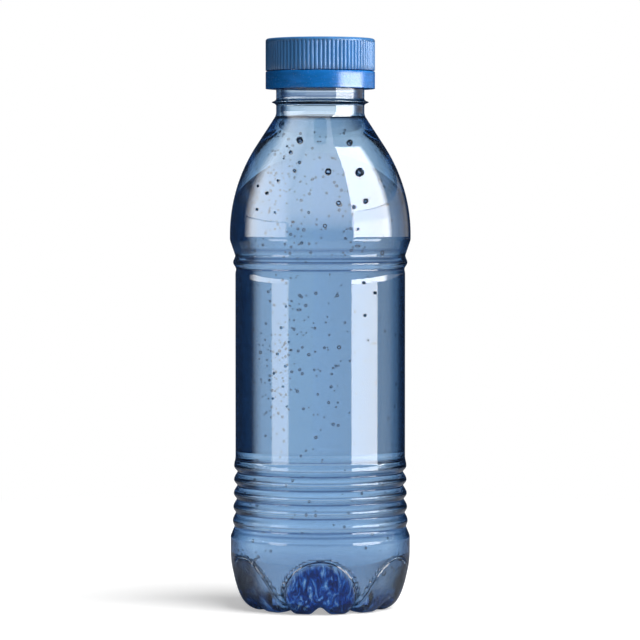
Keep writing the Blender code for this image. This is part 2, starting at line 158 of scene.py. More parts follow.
TAMPER_BEAD_Z = RIM_Z - TAMPER_BEAD_DROP
THREAD_END_Z = RIM_Z - THREAD_END_DROP
SEAL_BOTTOM_Z = RIM_Z + FIT_GAP
CAP_INNER_TOP_Z = SEAL_BOTTOM_Z + SEAL_THICKNESS + FIT_GAP
CAP_TOP_Z = CAP_INNER_TOP_Z + CAP_TOP_THICKNESS
CAP_BOTTOM_Z = CAP_TOP_Z - CAP_HEIGHT
CAP_BORE_RADIUS = NECK_RADIUS + THREAD_HEIGHT + THREAD_PLAY
CAP_RADIUS = CAP_BORE_RADIUS + CAP_WALL + KNURL_DEPTH
BAND_TOP_Z = CAP_BOTTOM_Z - FIT_GAP
BAND_LIP_TOP_Z = TAMPER_BEAD_Z - TAMPER_BEAD_HALF_WIDTH - FIT_GAP
BAND_LIP_ROOT_Z = BAND_LIP_TOP_Z - BAND_LIP_LENGTH
BAND_BOTTOM_Z = BAND_LIP_ROOT_Z - BAND_FOOT_HEIGHT

# Levels of the creases at the base's step and at the waist, drawn as painted dark lines of shade
PAINTED_CREASE_LEVELS = (26.0 * MM, 28.4 * MM, 125.4 * MM, 128.3 * MM, 129.6 * MM, 133.0 * MM, 188.7 * MM, 190.1 * MM)
CREASE_HALF_WIDTH = 0.5 * MM

# Painted shade on the wall: the dark upper side of a rib (its place and half its width in a pitch), half the
# width of the painted dark line in a groove, and how strong the painted shade over the feet and on the side
# feet is
RIB_SIDE_PLACE = 0.33
RIB_SIDE_HALF_WIDTH = 0.25
GROOVE_LINE_HALF_WIDTH = 0.11
BASE_SHADE = 0.22
SIDE_FOOT_SHADE = 0.8

# The painted dark line of shade where the water meets the wall, and how far out the water's climb there
# reaches
SHORE_DROP = 0.6 * MM
SHORE_HALF_WIDTH = 0.85 * MM
SHORE_FADE = 0.3 * MM
MENISCUS_REACH = 0.9 * MM
MENISCUS_STEPS = (0.1, 0.22, 0.4, 0.65, 1.0, 1.5, 2.2, 3.2, 5.0, 7.5, 10.0)

# Colours of the painted shade marks on the wall and of the water's painted dark line, and the height of the
# bump
WHITE = (1.0, 1.0, 1.0, 1.0)
PAINTED_RIB_SHADE_COLOUR = (0.006, 0.016, 0.045)
PAINTED_CREASE_SHADE = (0.16, 0.25, 0.42)
PAINTED_SHORE_SHADE = (0.0005, 0.0012, 0.005)
RIDGE_HEIGHT = 0.24 * MM

# Scattered bubbles: power of their spread of sizes, and how deep one sits in its own radii
BUBBLE_SIZE_SKEW = 2.2
BUBBLE_DEPTH = 1.12

# Films: refraction, and where their painted dark rim of shade starts and where it is darkest, from 0 face-on
# to 1 edge-on
AIR_FILM = (1.12, 0.05, 0.18)
BEAD_FILM = (1.1, 0.1, 0.36)

# Placed bubbles and beads: how far out of the wall in their own radii, and thickness to width
BUBBLE_SEAT = (-1.06, 0.94)
BEAD_SEAT = (0.3, 0.45)

# Streaks of the moulded plastic: down the knurls of the cap, and round the band
CAP_STREAKS = (1.0, 1.0, 0.15)
BAND_STREAKS = (1.0, 1.0, 6.0)

# Stage: the camera's place across, the floor, the flags and the edges of the ring under the shoulder
CAMERA_ACROSS = -0.0001
FLOOR_SIZE = 12.0
PAPER_COLOUR = (0.8, 0.8, 0.8)
FLOOR_LIFT = 0.42
FLOOR_FADE = (0.12, 0.5)
FLOOR_DIMMING = 0.75
FLAG_COLOUR = (0.01, 0.02, 0.05)
SHIELD_EDGES = ((34.6 * MM, 136.8 * MM), (450.0 * MM, 132.5 * MM))

# Larger bubbles on the front of the wall, in millimetres: across, height, radius
LARGE_BUBBLES = (
    (-7.5, 172.8, 1.25), (10.8, 172.0, 1.15), (14.3, 161.0, 1.6), (2.9, 161.3, 1.25),
    (16.5, 150.6, 1.1), (6.6, 149.9, 0.95), (12.1, 148.4, 0.75), (1.7, 141.7, 0.75),
    (-10.8, 168.4, 0.85), (-7.6, 164.7, 0.7), (-9.4, 161.7, 0.75), (-15.3, 158.0, 0.65),
    (-19.4, 153.5, 0.75), (-22.7, 156.1, 0.6), (-23.0, 147.6, 0.65), (-6.0, 140.2, 0.6),
    (-6.8, 135.4, 0.6), (-4.2, 146.5, 0.55), (22.8, 131.7, 0.9), (22.1, 142.8, 0.55),
    (22.5, 138.4, 0.6), (-14.1, 178.7, 0.7), (-1.6, 117.3, 0.6), (-5.3, 112.9, 0.6),
    (-7.5, 116.5, 0.6), (-19.0, 117.7, 0.55), (6.2, 116.5, 0.6), (15.8, 121.0, 0.6),
    (19.9, 117.3, 0.65), (16.2, 109.2, 0.6), (6.9, 97.7, 0.75), (-4.2, 95.1, 0.6),
    (-21.9, 95.5, 0.65), (-7.5, 89.6, 0.55), (4.7, 69.9, 0.6), (-1.6, 65.1, 0.6),
    (21.7, 55.1, 0.7), (23.4, 14.8, 1.0), (-26.5, 16.6, 0.9), (-22.4, 21.0, 0.5),
)

# Beads on the outside of the wall, in millimetres: across, height, radius
OUTER_BEADS = (
    (14.3, 161.0, 1.6), (10.8, 172.0, 1.0), (16.5, 150.6, 1.0), (12.1, 148.4, 0.75), (15.8, 121.0, 0.6),
    (19.9, 117.3, 0.65), (16.2, 109.2, 0.6), (13.6, 140.5, 0.5), (17.3, 100.1, 0.45), (-7.5, 172.8, 1.2),
    (-10.8, 168.4, 0.6), (-7.6, 164.7, 0.5), (-9.4, 161.7, 0.55), (-15.3, 158.0, 0.5), (-19.4, 153.5, 0.6),
    (-22.7, 156.1, 0.5), (-23.0, 147.6, 0.5), (2.9, 161.3, 1.15), (6.6, 149.9, 0.85), (1.7, 141.7, 0.7),
    (-6.0, 140.2, 0.5), (-6.8, 135.4, 0.5), (-4.2, 146.5, 0.5), (-12.0, 170.5, 0.45), (-13.2, 166.0, 0.4),
    (-16.5, 146.5, 0.4), (-12.4, 112.5, 0.45), (-14.2, 104.8, 0.5), (-11.3, 99.6, 0.45), (-15.5, 95.2, 0.5),
    (-12.6, 90.8, 0.45), (-16.8, 88.1, 0.5), (-13.5, 83.4, 0.45), (-17.2, 79.0, 0.45), (-12.1, 76.2, 0.4),
)


class BottleProperties(bpy.types.PropertyGroup):
    """Fineness and tint of the blown bottle."""

    columns: IntProperty(name="Columns", description="Columns of the mesh round the bottle",
                         default=180, min=36, max=360)
    rib_roundness: FloatProperty(name="Rib roundness", default=1.3, min=0.5, max=3.0,
                                 description="Power of the rib form, low for round crests")
    ior: FloatProperty(name="Refraction", description="Index of refraction of the plastic", default=1.57)
    # Painted shade: the colour the wall darkens to where it is seen edge-on
    painted_edge_shade: FloatVectorProperty(name="Edge tint", description="Tint of the wall seen edge-on",
                                   subtype="COLOR", default=(0.008, 0.018, 0.045))
    absorption: FloatVectorProperty(name="Absorption colour", description="Tint of light inside the wall",
                                    subtype="COLOR", default=(0.0, 0.42, 0.72))
    absorption_density: FloatProperty(name="Absorption density", default=180.0,
                                      description="Strength of the tint in a metre")


class WaterProperties(bpy.types.PropertyGroup):
    """Tint and surface of the contents."""

    ior: FloatProperty(name="Refraction", description="Index of refraction of the water", default=1.33)
    absorption: FloatVectorProperty(name="Absorption colour", description="Tint of light inside the water",
                                    subtype="COLOR", default=(0.0, 0.4, 0.7))
    absorption_density: FloatProperty(name="Absorption density", default=24.5,
                                      description="Strength of the tint in a metre")
    # Painted shade: the colour the water's surface darkens to where it is seen edge-on
    painted_edge_shade: FloatVectorProperty(name="Edge tint", description="Tint of the surface seen edge-on",
                                   subtype="COLOR", default=(0.01, 0.022, 0.06))
    meniscus: FloatProperty(name="Meniscus", description="Climb of the water at the wall",
                            subtype="DISTANCE", default=0.35 * MM)


class BubbleProperties(bpy.types.PropertyGroup):
    """Air bubbles that cling to the inside of the wall."""

    density: FloatProperty(name="Density", description="Bubbles to the square metre at the densest place",
                           default=340000.0)
    smallest: FloatProperty(name="Smallest radius", description="Radius of the smallest bubble",
                            subtype="DISTANCE", default=0.28 * MM)
    largest: FloatProperty(name="Largest radius", description="Radius of the largest scattered bubble",
                           subtype="DISTANCE", default=0.6 * MM)
    seed: IntProperty(name="Seed", description="Seed of the scatter", default=11)
    # Painted shade: the colour a bubble's rim darkens to
    painted_rim_shade: FloatVectorProperty(name="Rim tint", description="Tint of a bubble seen edge-on",
                                  subtype="COLOR", default=(0.004, 0.012, 0.035))


class ClosureProperties(bpy.types.PropertyGroup):
    """Knurls and colour of the cap, the band and the sealing disc."""

    knurls: IntProperty(name="Knurls", description="Number of knurls round the cap", default=80, min=8)
    knurl_columns: IntProperty(name="Columns to a knurl", description="Mesh columns across one knurl",
                               default=8, min=4)
    colour: FloatVectorProperty(name="Colour", description="Colour of the blue polypropylene",
                                subtype="COLOR", default=(0.006, 0.19, 0.62))
    # Painted sheen: the cap's blue is paler than the band's, standing in for the broad sheen on the knurls
    cap_colour_with_painted_sheen: FloatVectorProperty(name="Cap colour", subtype="COLOR", default=(0.05, 0.22, 0.53),
                                    description="Colour of the knurled cap, a little paler")
    cap_roughness: FloatProperty(name="Cap roughness", description="Roughness of the cap", default=0.38)
    band_roughness: FloatProperty(name="Band roughness", description="Roughness of the band", default=0.24)
    liner_colour: FloatVectorProperty(name="Liner colour", description="Colour of the sealing disc",
                                      subtype="COLOR", default=(0.86, 0.86, 0.83))


class StageProperties(bpy.types.PropertyGroup):
    """Camera, floor and studio light."""

    camera_distance: FloatProperty(name="Camera distance", description="Distance from the bottle's axis",
                                   subtype="DISTANCE", default=1.295)
    camera_height: FloatProperty(name="Camera height", description="Height of the lens over the floor",
                                 subtype="DISTANCE", default=0.151)
    aim_height: FloatProperty(name="Aim height", description="Height on the axis that the camera aims at",
                              subtype="DISTANCE", default=0.1066)
    lens: FloatProperty(name="Lens", description="Focal length", subtype="DISTANCE_CAMERA", default=196.9)
    key: FloatProperty(name="Key light", description="Irradiance of the key light", default=4.2)
    key_turn: FloatProperty(name="Key turn", description="Angle of the key light to the right of the camera",
                            subtype="ANGLE", default=math.radians(50.0))
    key_rise: FloatProperty(name="Key rise", description="Angle of the key light over the floor",
                            subtype="ANGLE", default=math.radians(48.0))
    key_breadth: FloatProperty(name="Key breadth", description="Angle across the key light as it is seen",
                               subtype="ANGLE", default=math.radians(60.0))
    ambient: FloatProperty(name="Ambient", description="Level of the soft light all round", default=0.12)
    mirrored: FloatVectorProperty(name="Mirrored colour", description="Colour of the room in reflections",
                                  subtype="COLOR", default=(0.02, 0.04, 0.09))
    veil: FloatProperty(name="Veil", description="Level of the high front panel in reflections", default=3.3)
    right_box: FloatProperty(name="Right softbox", description="Level of the right softbox in reflections",
                             default=8.5)
    left_box: FloatProperty(name="Left softbox", description="Level of the left softbox in reflections",
                            default=4.5)


class PetalBottleProperties(bpy.types.PropertyGroup):
    """All settings of the bottle."""

    bottle: PointerProperty(type=BottleProperties)
    water: PointerProperty(type=WaterProperties)
    bubbles: PointerProperty(type=BubbleProperties)
    closure: PointerProperty(type=ClosureProperties)
    stage: PointerProperty(type=StageProperties)


def smooth_step(x):
    """0 below 0, 1 above 1, and an S curve between."""
    x = np.clip(x, 0.0, 1.0)
    return x * x * (3.0 - 2.0 * x)


def wall_at(z):
    """Wall thickness: full in the neck, thin in the blown body."""
    return BODY_WALL + (NECK_WALL - BODY_WALL) * smooth_step((z - NECK_ROOT_Z) / WALL_BLEND_LENGTH + 1.0)


def line(start, end, steps):
    """Points of a straight line in the (radius, z) plane, without its first one."""
    start, end = np.array(start), np.array(end)
    return [tuple(start + (end - start) * i / steps) for i in range(1, steps + 1)]


def round_angles(count):
    """Even angles round the axis."""
    return TAU * np.arange(count) / count


def arc(centre, radius, start, end, steps):
    """Points on an arc about a centre in the (radius, z) plane."""
    return [(centre[0] + radius * math.cos(a), centre[1] + radius * math.sin(a))
            for a in np.linspace(start, end, steps + 1)]


def fillet(before, corner, after, radius, steps):
    """Points that round the corner of a profile with an arc tangent to both sides."""
    corner = Vector(corner)
    to_before = (Vector(before) - corner).normalized()
    to_after = (Vector(after) - corner).normalized()
    half = to_before.angle(to_after) / 2
    start = corner + to_before * radius / math.tan(half)
    end = corner + to_after * radius / math.tan(half)
    centre = corner + (to_before + to_after).normalized() * radius / math.sin(half)
    arms = [(start - centre).lerp(end - centre, i / steps).normalized() for i in range(steps + 1)]
    return [tuple(centre + arm * radius) for arm in arms]


def wave(z_crest, pitch, crest, groove_above, groove_below, steps, power=2.0, lean=0.0):
    """Rows of one rib from above its crest down to the groove under it; lean lowers the crest."""
    rows = []
    for i in range(1, steps + 1):
        phase = i / steps - 0.5
        groove = groove_below if phase > 0 else groove_above
        swell = abs(math.cos(math.pi * phase)) ** power
        sag = lean * math.cos(math.pi * phase) ** 2
        rows.append((groove + (crest - groove) * swell, z_crest - phase * pitch - sag))
    return rows


def neck_profile():
    """The plain neck from the rim down to the start of its root fillet."""
    return line((NECK_RADIUS, RIM_Z), (NECK_RADIUS, NECK_ROOT_Z + 1.2 * MM), 22)


def body_profile(rib_power):
    """The blown body from the neck root down to the top of the heel."""
    rim = (NECK_RADIUS, RIM_Z)
    root = (NECK_RADIUS, NECK_ROOT_Z)
    cone_end = (ARC_TOP_RADIUS, ARC_TOP_Z)
    rows = fillet(rim, root, cone_end, NECK_FILLET, 8)
    rows += line(rows[-1], cone_end, 10)
    arc_centre = (BULGE_RADIUS - SHOULDER_ARC_RADIUS, BULGE_Z)
    rows += arc(arc_centre, SHOULDER_ARC_RADIUS, SHOULDER_ANGLE, 0.0, 26)[1:]
    groove_z = WAIST_Z + WAIST_PITCH / 2
    groove = (WAIST_UPPER_GROOVE, groove_z)
    lip = (BULGE_RADIUS, groove_z + BULGE_LIP_RISE)
    rows += fillet((BULGE_RADIUS, BULGE_Z), lip, groove, BULGE_LIP_FILLET, 8)
    rows += line(rows[-1], groove, 5)
    rows += wave(WAIST_Z, WAIST_PITCH, WAIST_CREST, WAIST_UPPER_GROOVE, WAIST_LOWER_GROOVE, 14)
    panel_top = BODY_TOP_Z - WAIST_PITCH / 3
    for i in range(1, 5):
        z = BODY_TOP_Z + (panel_top - BODY_TOP_Z) * i / 4
        rows.append((WAIST_LOWER_GROOVE + (BODY_RADIUS - WAIST_LOWER_GROOVE) * float(smooth_step(i / 4)), z))
    rows += line((BODY_RADIUS, panel_top), (BODY_RADIUS, BODY_BOTTOM_Z + 1.5 * MM), 9)
    rows += line(rows[-1], (BODY_RADIUS, BODY_BOTTOM_Z), 2)
    groove_above = BODY_RADIUS
    for i in range(RIB_COUNT):
        crest = RIB_CREST + RIB_CREST_SWELL * i * i
        groove_below = RIB_GROOVE + RIB_GROOVE_SWELL * i * i
        z_crest = BODY_BOTTOM_Z - (i + 0.5) * RIB_PITCH - RIB_DROP
        rows += wave(z_crest, RIB_PITCH, crest, groove_above, groove_below, 12, rib_power, RIB_LEAN)
        groove_above = groove_below
    step = (BASE_RADIUS, BASE_BAND_TOP)
    rounding = fillet(rows[-1], step, (BASE_RADIUS, HEEL_HEIGHT), BASE_STEP / 2, 8)
    rows += line(rows[-1], rounding[0], 4) + rounding[1:]
    return rows + line(rows[-1], (BASE_RADIUS, HEEL_HEIGHT), 4)[:-1]


def foot_share(angle, z, under):
    """1 on a foot and 0 on a strap; the foot is a steep-sided arch, split below by its notch."""
    spacing = TAU / FOOT_COUNT
    off = np.abs((angle - FRONT_FOOT_ANGLE + spacing / 2) % spacing - spacing / 2)
    rise = 0.0 if under else min(z / ARCH_HEIGHT, 1.0)
    inside = np.clip(1 - (off / FOOT_HALF_ANGLE) ** 2 - rise * rise, 0.0, 1.0)
    low = 1.0 if under else float(smooth_step(1 - z / NOTCH_TOP))
    steepness = ARCH_STEEPNESS + (TOE_STEEPNESS - ARCH_STEEPNESS) * low
    share = 1 - (1 - np.minimum(1.0, steepness * inside)) ** 2
    depth = NOTCH_DEPTH * low
    return share * (1 - depth * smooth_step(1 - off / NOTCH_HALF_ANGLE))


def ring_at(angles, radius, z):
    """A ring of points at one radius and level, or at one of each for every angle."""
    level = np.broadcast_to(z, angles.shape)
    return np.stack([radius * np.cos(angles), radius * np.sin(angles), level], axis=1)


def base_rings(angles, heel_steps=36, punt_steps=12):
    """Rings from the heel's upper edge in to the punt, with the feet in them."""
    pad_radius = BASE_RADIUS - HEEL_WIDTH
    strap_radius = BASE_RADIUS - STRAP_WIDTH
    inner_pad = pad_radius - PAD_WIDTH
    inner_strap = strap_radius - PAD_WIDTH
    pairs = []
    for depth in np.sin(np.linspace(0.0, math.pi / 2, heel_steps + 1)):
        foot_reach = HEEL_WIDTH * (1 - depth ** HEEL_FULLNESS) ** (1 / HEEL_FULLNESS)
        strap_reach = STRAP_WIDTH * (1 - depth ** STRAP_FULLNESS) ** (1 / STRAP_FULLNESS)
        strap_z = HEEL_HEIGHT - (HEEL_HEIGHT - PUNT_HEIGHT) * depth
        foot_z = HEEL_HEIGHT * (1 - depth)
        pairs.append(((pad_radius + foot_reach, foot_z), (strap_radius + strap_reach, strap_z)))
    for i in (1, 2):
        inwards = PAD_WIDTH * i / 2
        pairs.append(((pad_radius - inwards, 0.0), (strap_radius - inwards, PUNT_HEIGHT)))
    for share in np.linspace(1.0, 0.0, punt_steps + 1)[1:-1]:
        rise = PUNT_HEIGHT * (1 + math.cos(math.pi * share)) / 2
        pairs.append(((inner_pad * share, rise), (inner_strap * share, PUNT_HEIGHT)))
    rings = []
    for row, (foot, strap) in enumerate(pairs):
        share = foot_share(angles, foot[1], row >= heel_steps)
        radius = strap[0] + (foot[0] - strap[0]) * share
        z = strap[1] + (foot[1] - strap[1]) * share
        rings.append(ring_at(angles, radius, z))
    return rings


def mark_wall(mesh):
    """Store the arches and the painted shade: on the feet, on the upper sides of the ribs and in dark lines
    in the grooves and creases, with a light one over the base band.
    """
    points = mesh_points(mesh)
    z = points[:, 2]
    spacing = TAU / FOOT_COUNT
    angle = np.arctan2(points[:, 1], points[:, 0]) - FRONT_FOOT_ANGLE
    off = np.abs((angle + spacing / 2) % spacing - spacing / 2)
    arch = np.sqrt((off / FOOT_HALF_ANGLE) ** 2 + (z / ARCH_HEIGHT) ** 2)
    front = np.cos(angle) > math.cos(spacing / 2)
    low = smooth_step((11.0 * MM - z) / (7.0 * MM))
    # Painted shade: dark in the front foot's arch and on the low part of the side feet
    dark = smooth_step((0.96 - arch) / 0.12) * np.where(front, 1.0, SIDE_FOOT_SHADE * low)
    ribs_top = BODY_BOTTOM_Z - RIB_DROP
    phase = (ribs_top - z) / RIB_PITCH
    ribbed = (phase > -0.3) & (phase < RIB_COUNT + 0.1)
    # Painted shade: the dark upper side of each rib
    upper = np.clip(1 - np.abs(phase % 1.0 - RIB_SIDE_PLACE) / RIB_SIDE_HALF_WIDTH, 0.0, 1.0) * ribbed
    # Painted shade: a thin dark line in each groove and at each crease
    line = np.clip(1 - np.abs((phase + 0.5) % 1.0 - 0.5) / GROOVE_LINE_HALF_WIDTH, 0.0, 1.0) * ribbed
    for level in PAINTED_CREASE_LEVELS:
        line = np.maximum(line, np.clip(1 - np.abs(z - level) / CREASE_HALF_WIDTH, 0.0, 1.0))
    # Painted shade over the base band, darker towards the bottom
    line = np.maximum(line, BASE_SHADE * smooth_step((25.0 * MM - z) / (4.0 * MM)))
    for name, value in (("arch", np.where(points[:, 1] < 0.0, np.minimum(arch, 1.0), 1.0)),
                        ("painted_foot_shade", dark), ("painted_rib_shade", upper), ("painted_crease_shade", line)):
        store_values(mesh, name, value)


def store_values(mesh, name, values):
    """Store a number for each point of a mesh."""
    mesh.attributes.new(name, "FLOAT", "POINT").data.foreach_set("value", values)


def mesh_points(mesh):
    """The points of a mesh as an array."""
    return np.array([vert.co for vert in mesh.vertices])


def turned_rings(profile, angles):
    """A ring of points for each (radius, z) of a profile."""
    return [ring_at(angles, r, z) for r, z in profile]


def skin_rings(columns, rib_power):
    """The plain outer skin as a grid of points, from the rim down to the middle of the base."""
    angles = round_angles(columns)
    rows = turned_rings([(NECK_RADIUS, RIM_Z)] + neck_profile() + body_profile(rib_power), angles)
    return np.array(rows + base_rings(angles))


def grid_normals(points):
    """Outward normals of a grid whose rows run downwards."""
    down = np.gradient(points, axis=0)
    round_ = np.roll(points, -1, axis=1) - np.roll(points, 1, axis=1)
    normals = np.cross(down, round_)
    return normals / np.maximum(np.linalg.norm(normals, axis=2, keepdims=True), 1e-12)


def inset_rings(points, share):
    """The grid moved inwards by a share of the wall's thickness."""
    thickness = wall_at(points[:, :, 2:3]) * share
    return points - grid_normals(points) * thickness


def thread_height(angle, z):
    """How far the neck thread stands out of the neck at an angle and a level."""
    height = np.zeros(np.broadcast(angle, z).shape)
    for lap in (-2, -1, 0):
        turn = angle / TAU + lap
        inside = (turn >= -NECK_THREAD_TURNS) & (turn <= 0.0)
        ends = np.minimum(turn + NECK_THREAD_TURNS, -turn) * TAU / THREAD_FADE_ANGLE
        off = np.abs(z - THREAD_END_Z - THREAD_PITCH * turn)
        half_root, half_crest = NECK_THREAD_ROOT_WIDTH / 2, NECK_THREAD_CREST_WIDTH / 2
        form = smooth_step((half_root - off) / (half_root - half_crest))
        height = np.maximum(height, THREAD_HEIGHT * smooth_step(ends) * form * inside)
    return height


def collar_height(drop, half_width, flat_below):
    """How far a collar stands out of the neck, by the level over its middle."""
    share = np.clip(1 - np.maximum(np.abs(drop) - COLLAR_TIP_HALF_WIDTH, 0.0) / half_width, 0.0, 1.0) ** 3
    if flat_below:
        share = np.where((drop < 0) & (drop >= -half_width), 1.0, np.where(drop < 0, 0.0, share))
    return COLLAR_REACH * share


def finish_rings(angles):
    """The outside of the neck from the rim down to its root, with thread, bead and support ring."""
    bead_low = TAMPER_BEAD_Z - TAMPER_BEAD_HALF_WIDTH
    ring_half = SUPPORT_RING_HALF_WIDTH + COLLAR_TIP_HALF_WIDTH
    levels = list(np.linspace(RIM_Z - RIM_ROUNDING, TAMPER_BEAD_Z + 1.0 * MM, 32))
    levels += list(np.linspace(TAMPER_BEAD_Z + 0.8 * MM, TAMPER_BEAD_Z, 7))
    levels += [TAMPER_BEAD_Z - 0.4 * MM, bead_low + 0.12 * MM, bead_low + 0.001 * MM, bead_low - 0.001 * MM]
    levels += list(np.linspace(bead_low - 0.5 * MM, SUPPORT_RING_Z + ring_half + 0.4 * MM, 20))
    levels += list(np.linspace(SUPPORT_RING_Z + ring_half, SUPPORT_RING_Z - ring_half, 21))
    levels += list(np.linspace(SUPPORT_RING_Z - ring_half - 0.5 * MM, NECK_ROOT_Z + 1.2 * MM, 4))
    rings = turned_rings(arc((NECK_RADIUS - RIM_ROUNDING, RIM_Z - RIM_ROUNDING), RIM_ROUNDING,
                             math.pi / 2, 0.0, 4)[:-1], angles)
    for z in levels:
        radius = NECK_RADIUS + np.maximum.reduce([
            thread_height(angles, z),
            np.full_like(angles, collar_height(z - TAMPER_BEAD_Z, TAMPER_BEAD_HALF_WIDTH, True)),
            np.full_like(angles, collar_height(z - SUPPORT_RING_Z, SUPPORT_RING_HALF_WIDTH, False)),
        ])
        rings.append(ring_at(angles, radius, z))
    return rings


def ring_mesh(name, rings, poles=(None, None), closed=False, material=None):
    """A mesh from rings of points, with a pole at either end, or joined end to end."""
    count, columns = len(rings), len(rings[0])
    verts = np.concatenate(rings)
    index = np.arange(count * columns).reshape(count, columns)
    if closed:
        index = np.vstack([index, index[:1]])
    ahead = np.roll(index, -1, axis=1)
    quads = np.stack([index[:-1], ahead[:-1], ahead[1:], index[1:]], axis=2).reshape(-1, 4)
    faces = quads.tolist()
    verts = verts.tolist()
    for pole, row, turn in ((poles[0], index[0], False), (poles[1], index[-1], True)):
        if pole is None:
            continue
        tip = len(verts)
        verts.append(pole)
        pairs = zip(row.tolist(), np.roll(row, -1).tolist())
        faces += [(a, b, tip) if turn else (b, a, tip) for a, b in pairs]
    mesh = bpy.data.meshes.new(name)
    mesh.from_pydata(verts, [], faces)
    if material:
        mesh.materials.append(material)
    mesh.shade_smooth()
    mesh.update()
    return mesh


def clear_pieces():
    """The collection of the clear pieces, which alone mirror the high panels."""
    return bpy.data.collections.get("clear pieces") or bpy.data.collections.new("clear pieces")


def add_piece(name, mesh, body, slot, replaced=None):
    """Put a finished mesh in the scene as a piece that rides on a body."""
    obj = bpy.data.objects.new(name, mesh)
    bpy.context.scene.collection.objects.link(obj)
    if slot in ("clear_pet", "water"):
        clear_pieces().objects.link(obj)
    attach(obj, body)
    if replaced:
        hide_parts(replaced)
    return obj


def rgba(colour):
    """A colour with full opacity."""
    return (*colour, 1.0)


def set_inputs(tree, node, inputs):
    """Give a node's inputs their values, or link them from the sockets given."""
    for key, value in inputs.items():
        if isinstance(value, bpy.types.NodeSocket):
            tree.links.new(value, node.inputs[key])
        else:
            node.inputs[key].default_value = value


def add_node(tree, kind, inputs=None, **settings):
    """Add a node with its settings and its inputs, and return its outputs."""
    node = tree.nodes.new(kind)
    for name, value in settings.items():
        setattr(node, name, value)
    set_inputs(tree, node, inputs or {})
    return node.outputs


def add_math(tree, operation, first, second, clamp=False):
    """The result of a sum on two values or sockets."""
    return add_node(tree, "ShaderNodeMath", {0: first, 1: second}, operation=operation, use_clamp=clamp)[0]


def add_mix(tree, share, first, second, blend="MIX"):
    """The colour between a first one and a second one."""
    inputs = {0: share, 6: first, 7: second}
    return add_node(tree, "ShaderNodeMix", inputs, data_type="RGBA", blend_type=blend)[2]


def new_material(name):
    """A material with its node tree and its Principled shader."""
    material = bpy.data.materials.new(name)
    material.use_nodes = True
    return material, material.node_tree, material.node_tree.nodes["Principled BSDF"]


def add_bump(tree, shader, height, strength, distance):
    """Bump the shader's normal with a height."""
    bump = add_node(tree, "ShaderNodeBump", {"Strength": strength, "Distance": distance, "Height": height})
    set_inputs(tree, shader, {"Normal": bump["Normal"]})


def add_noise(tree, scale, detail, stretch=(1.0, 1.0, 1.0), **more):
    """The value of a noise on Object coordinates, stretched by a mapping."""
    place = add_node(tree, "ShaderNodeTexCoord")["Object"]
    mapped = add_node(tree, "ShaderNodeMapping", {"Vector": place, "Scale": stretch})["Vector"]
    inputs = {"Vector": mapped, "Scale": scale, "Detail": detail, **more}
    return add_node(tree, "ShaderNodeTexNoise", inputs)["Fac"]


def add_ramp(tree, source, stops):
    """The colour of a ramp fed by a value; each stop pairs a place with a colour or a grey level."""
    ramp = tree.nodes.new("ShaderNodeValToRGB")
    elements = ramp.color_ramp.elements
    while len(elements) < len(stops):
        elements.new(0.5)
    for element, (place, colour) in zip(elements, stops):
        element.position = place
        element.color = rgba((colour,) * 3 if isinstance(colour, float) else colour)
    set_inputs(tree, ramp, {"Fac": source})
    return ramp.outputs["Color"]


def add_attribute(tree, name):
    """The value of a mesh attribute."""
    return add_node(tree, "ShaderNodeAttribute", attribute_name=name)["Fac"]


def add_facing(tree):
    """0 where the surface faces the view, rising to 1 where it is seen edge-on."""
    return add_node(tree, "ShaderNodeLayerWeight", {"Blend": 0.5})["Facing"]


def add_absorption(tree, colour, density):
    """Tint the light that passes through the solid."""
    volume = add_node(tree, "ShaderNodeVolumeAbsorption", {"Color": rgba(colour), "Density": density})
    set_inputs(tree, tree.nodes["Material Output"], {"Volume": volume["Volume"]})


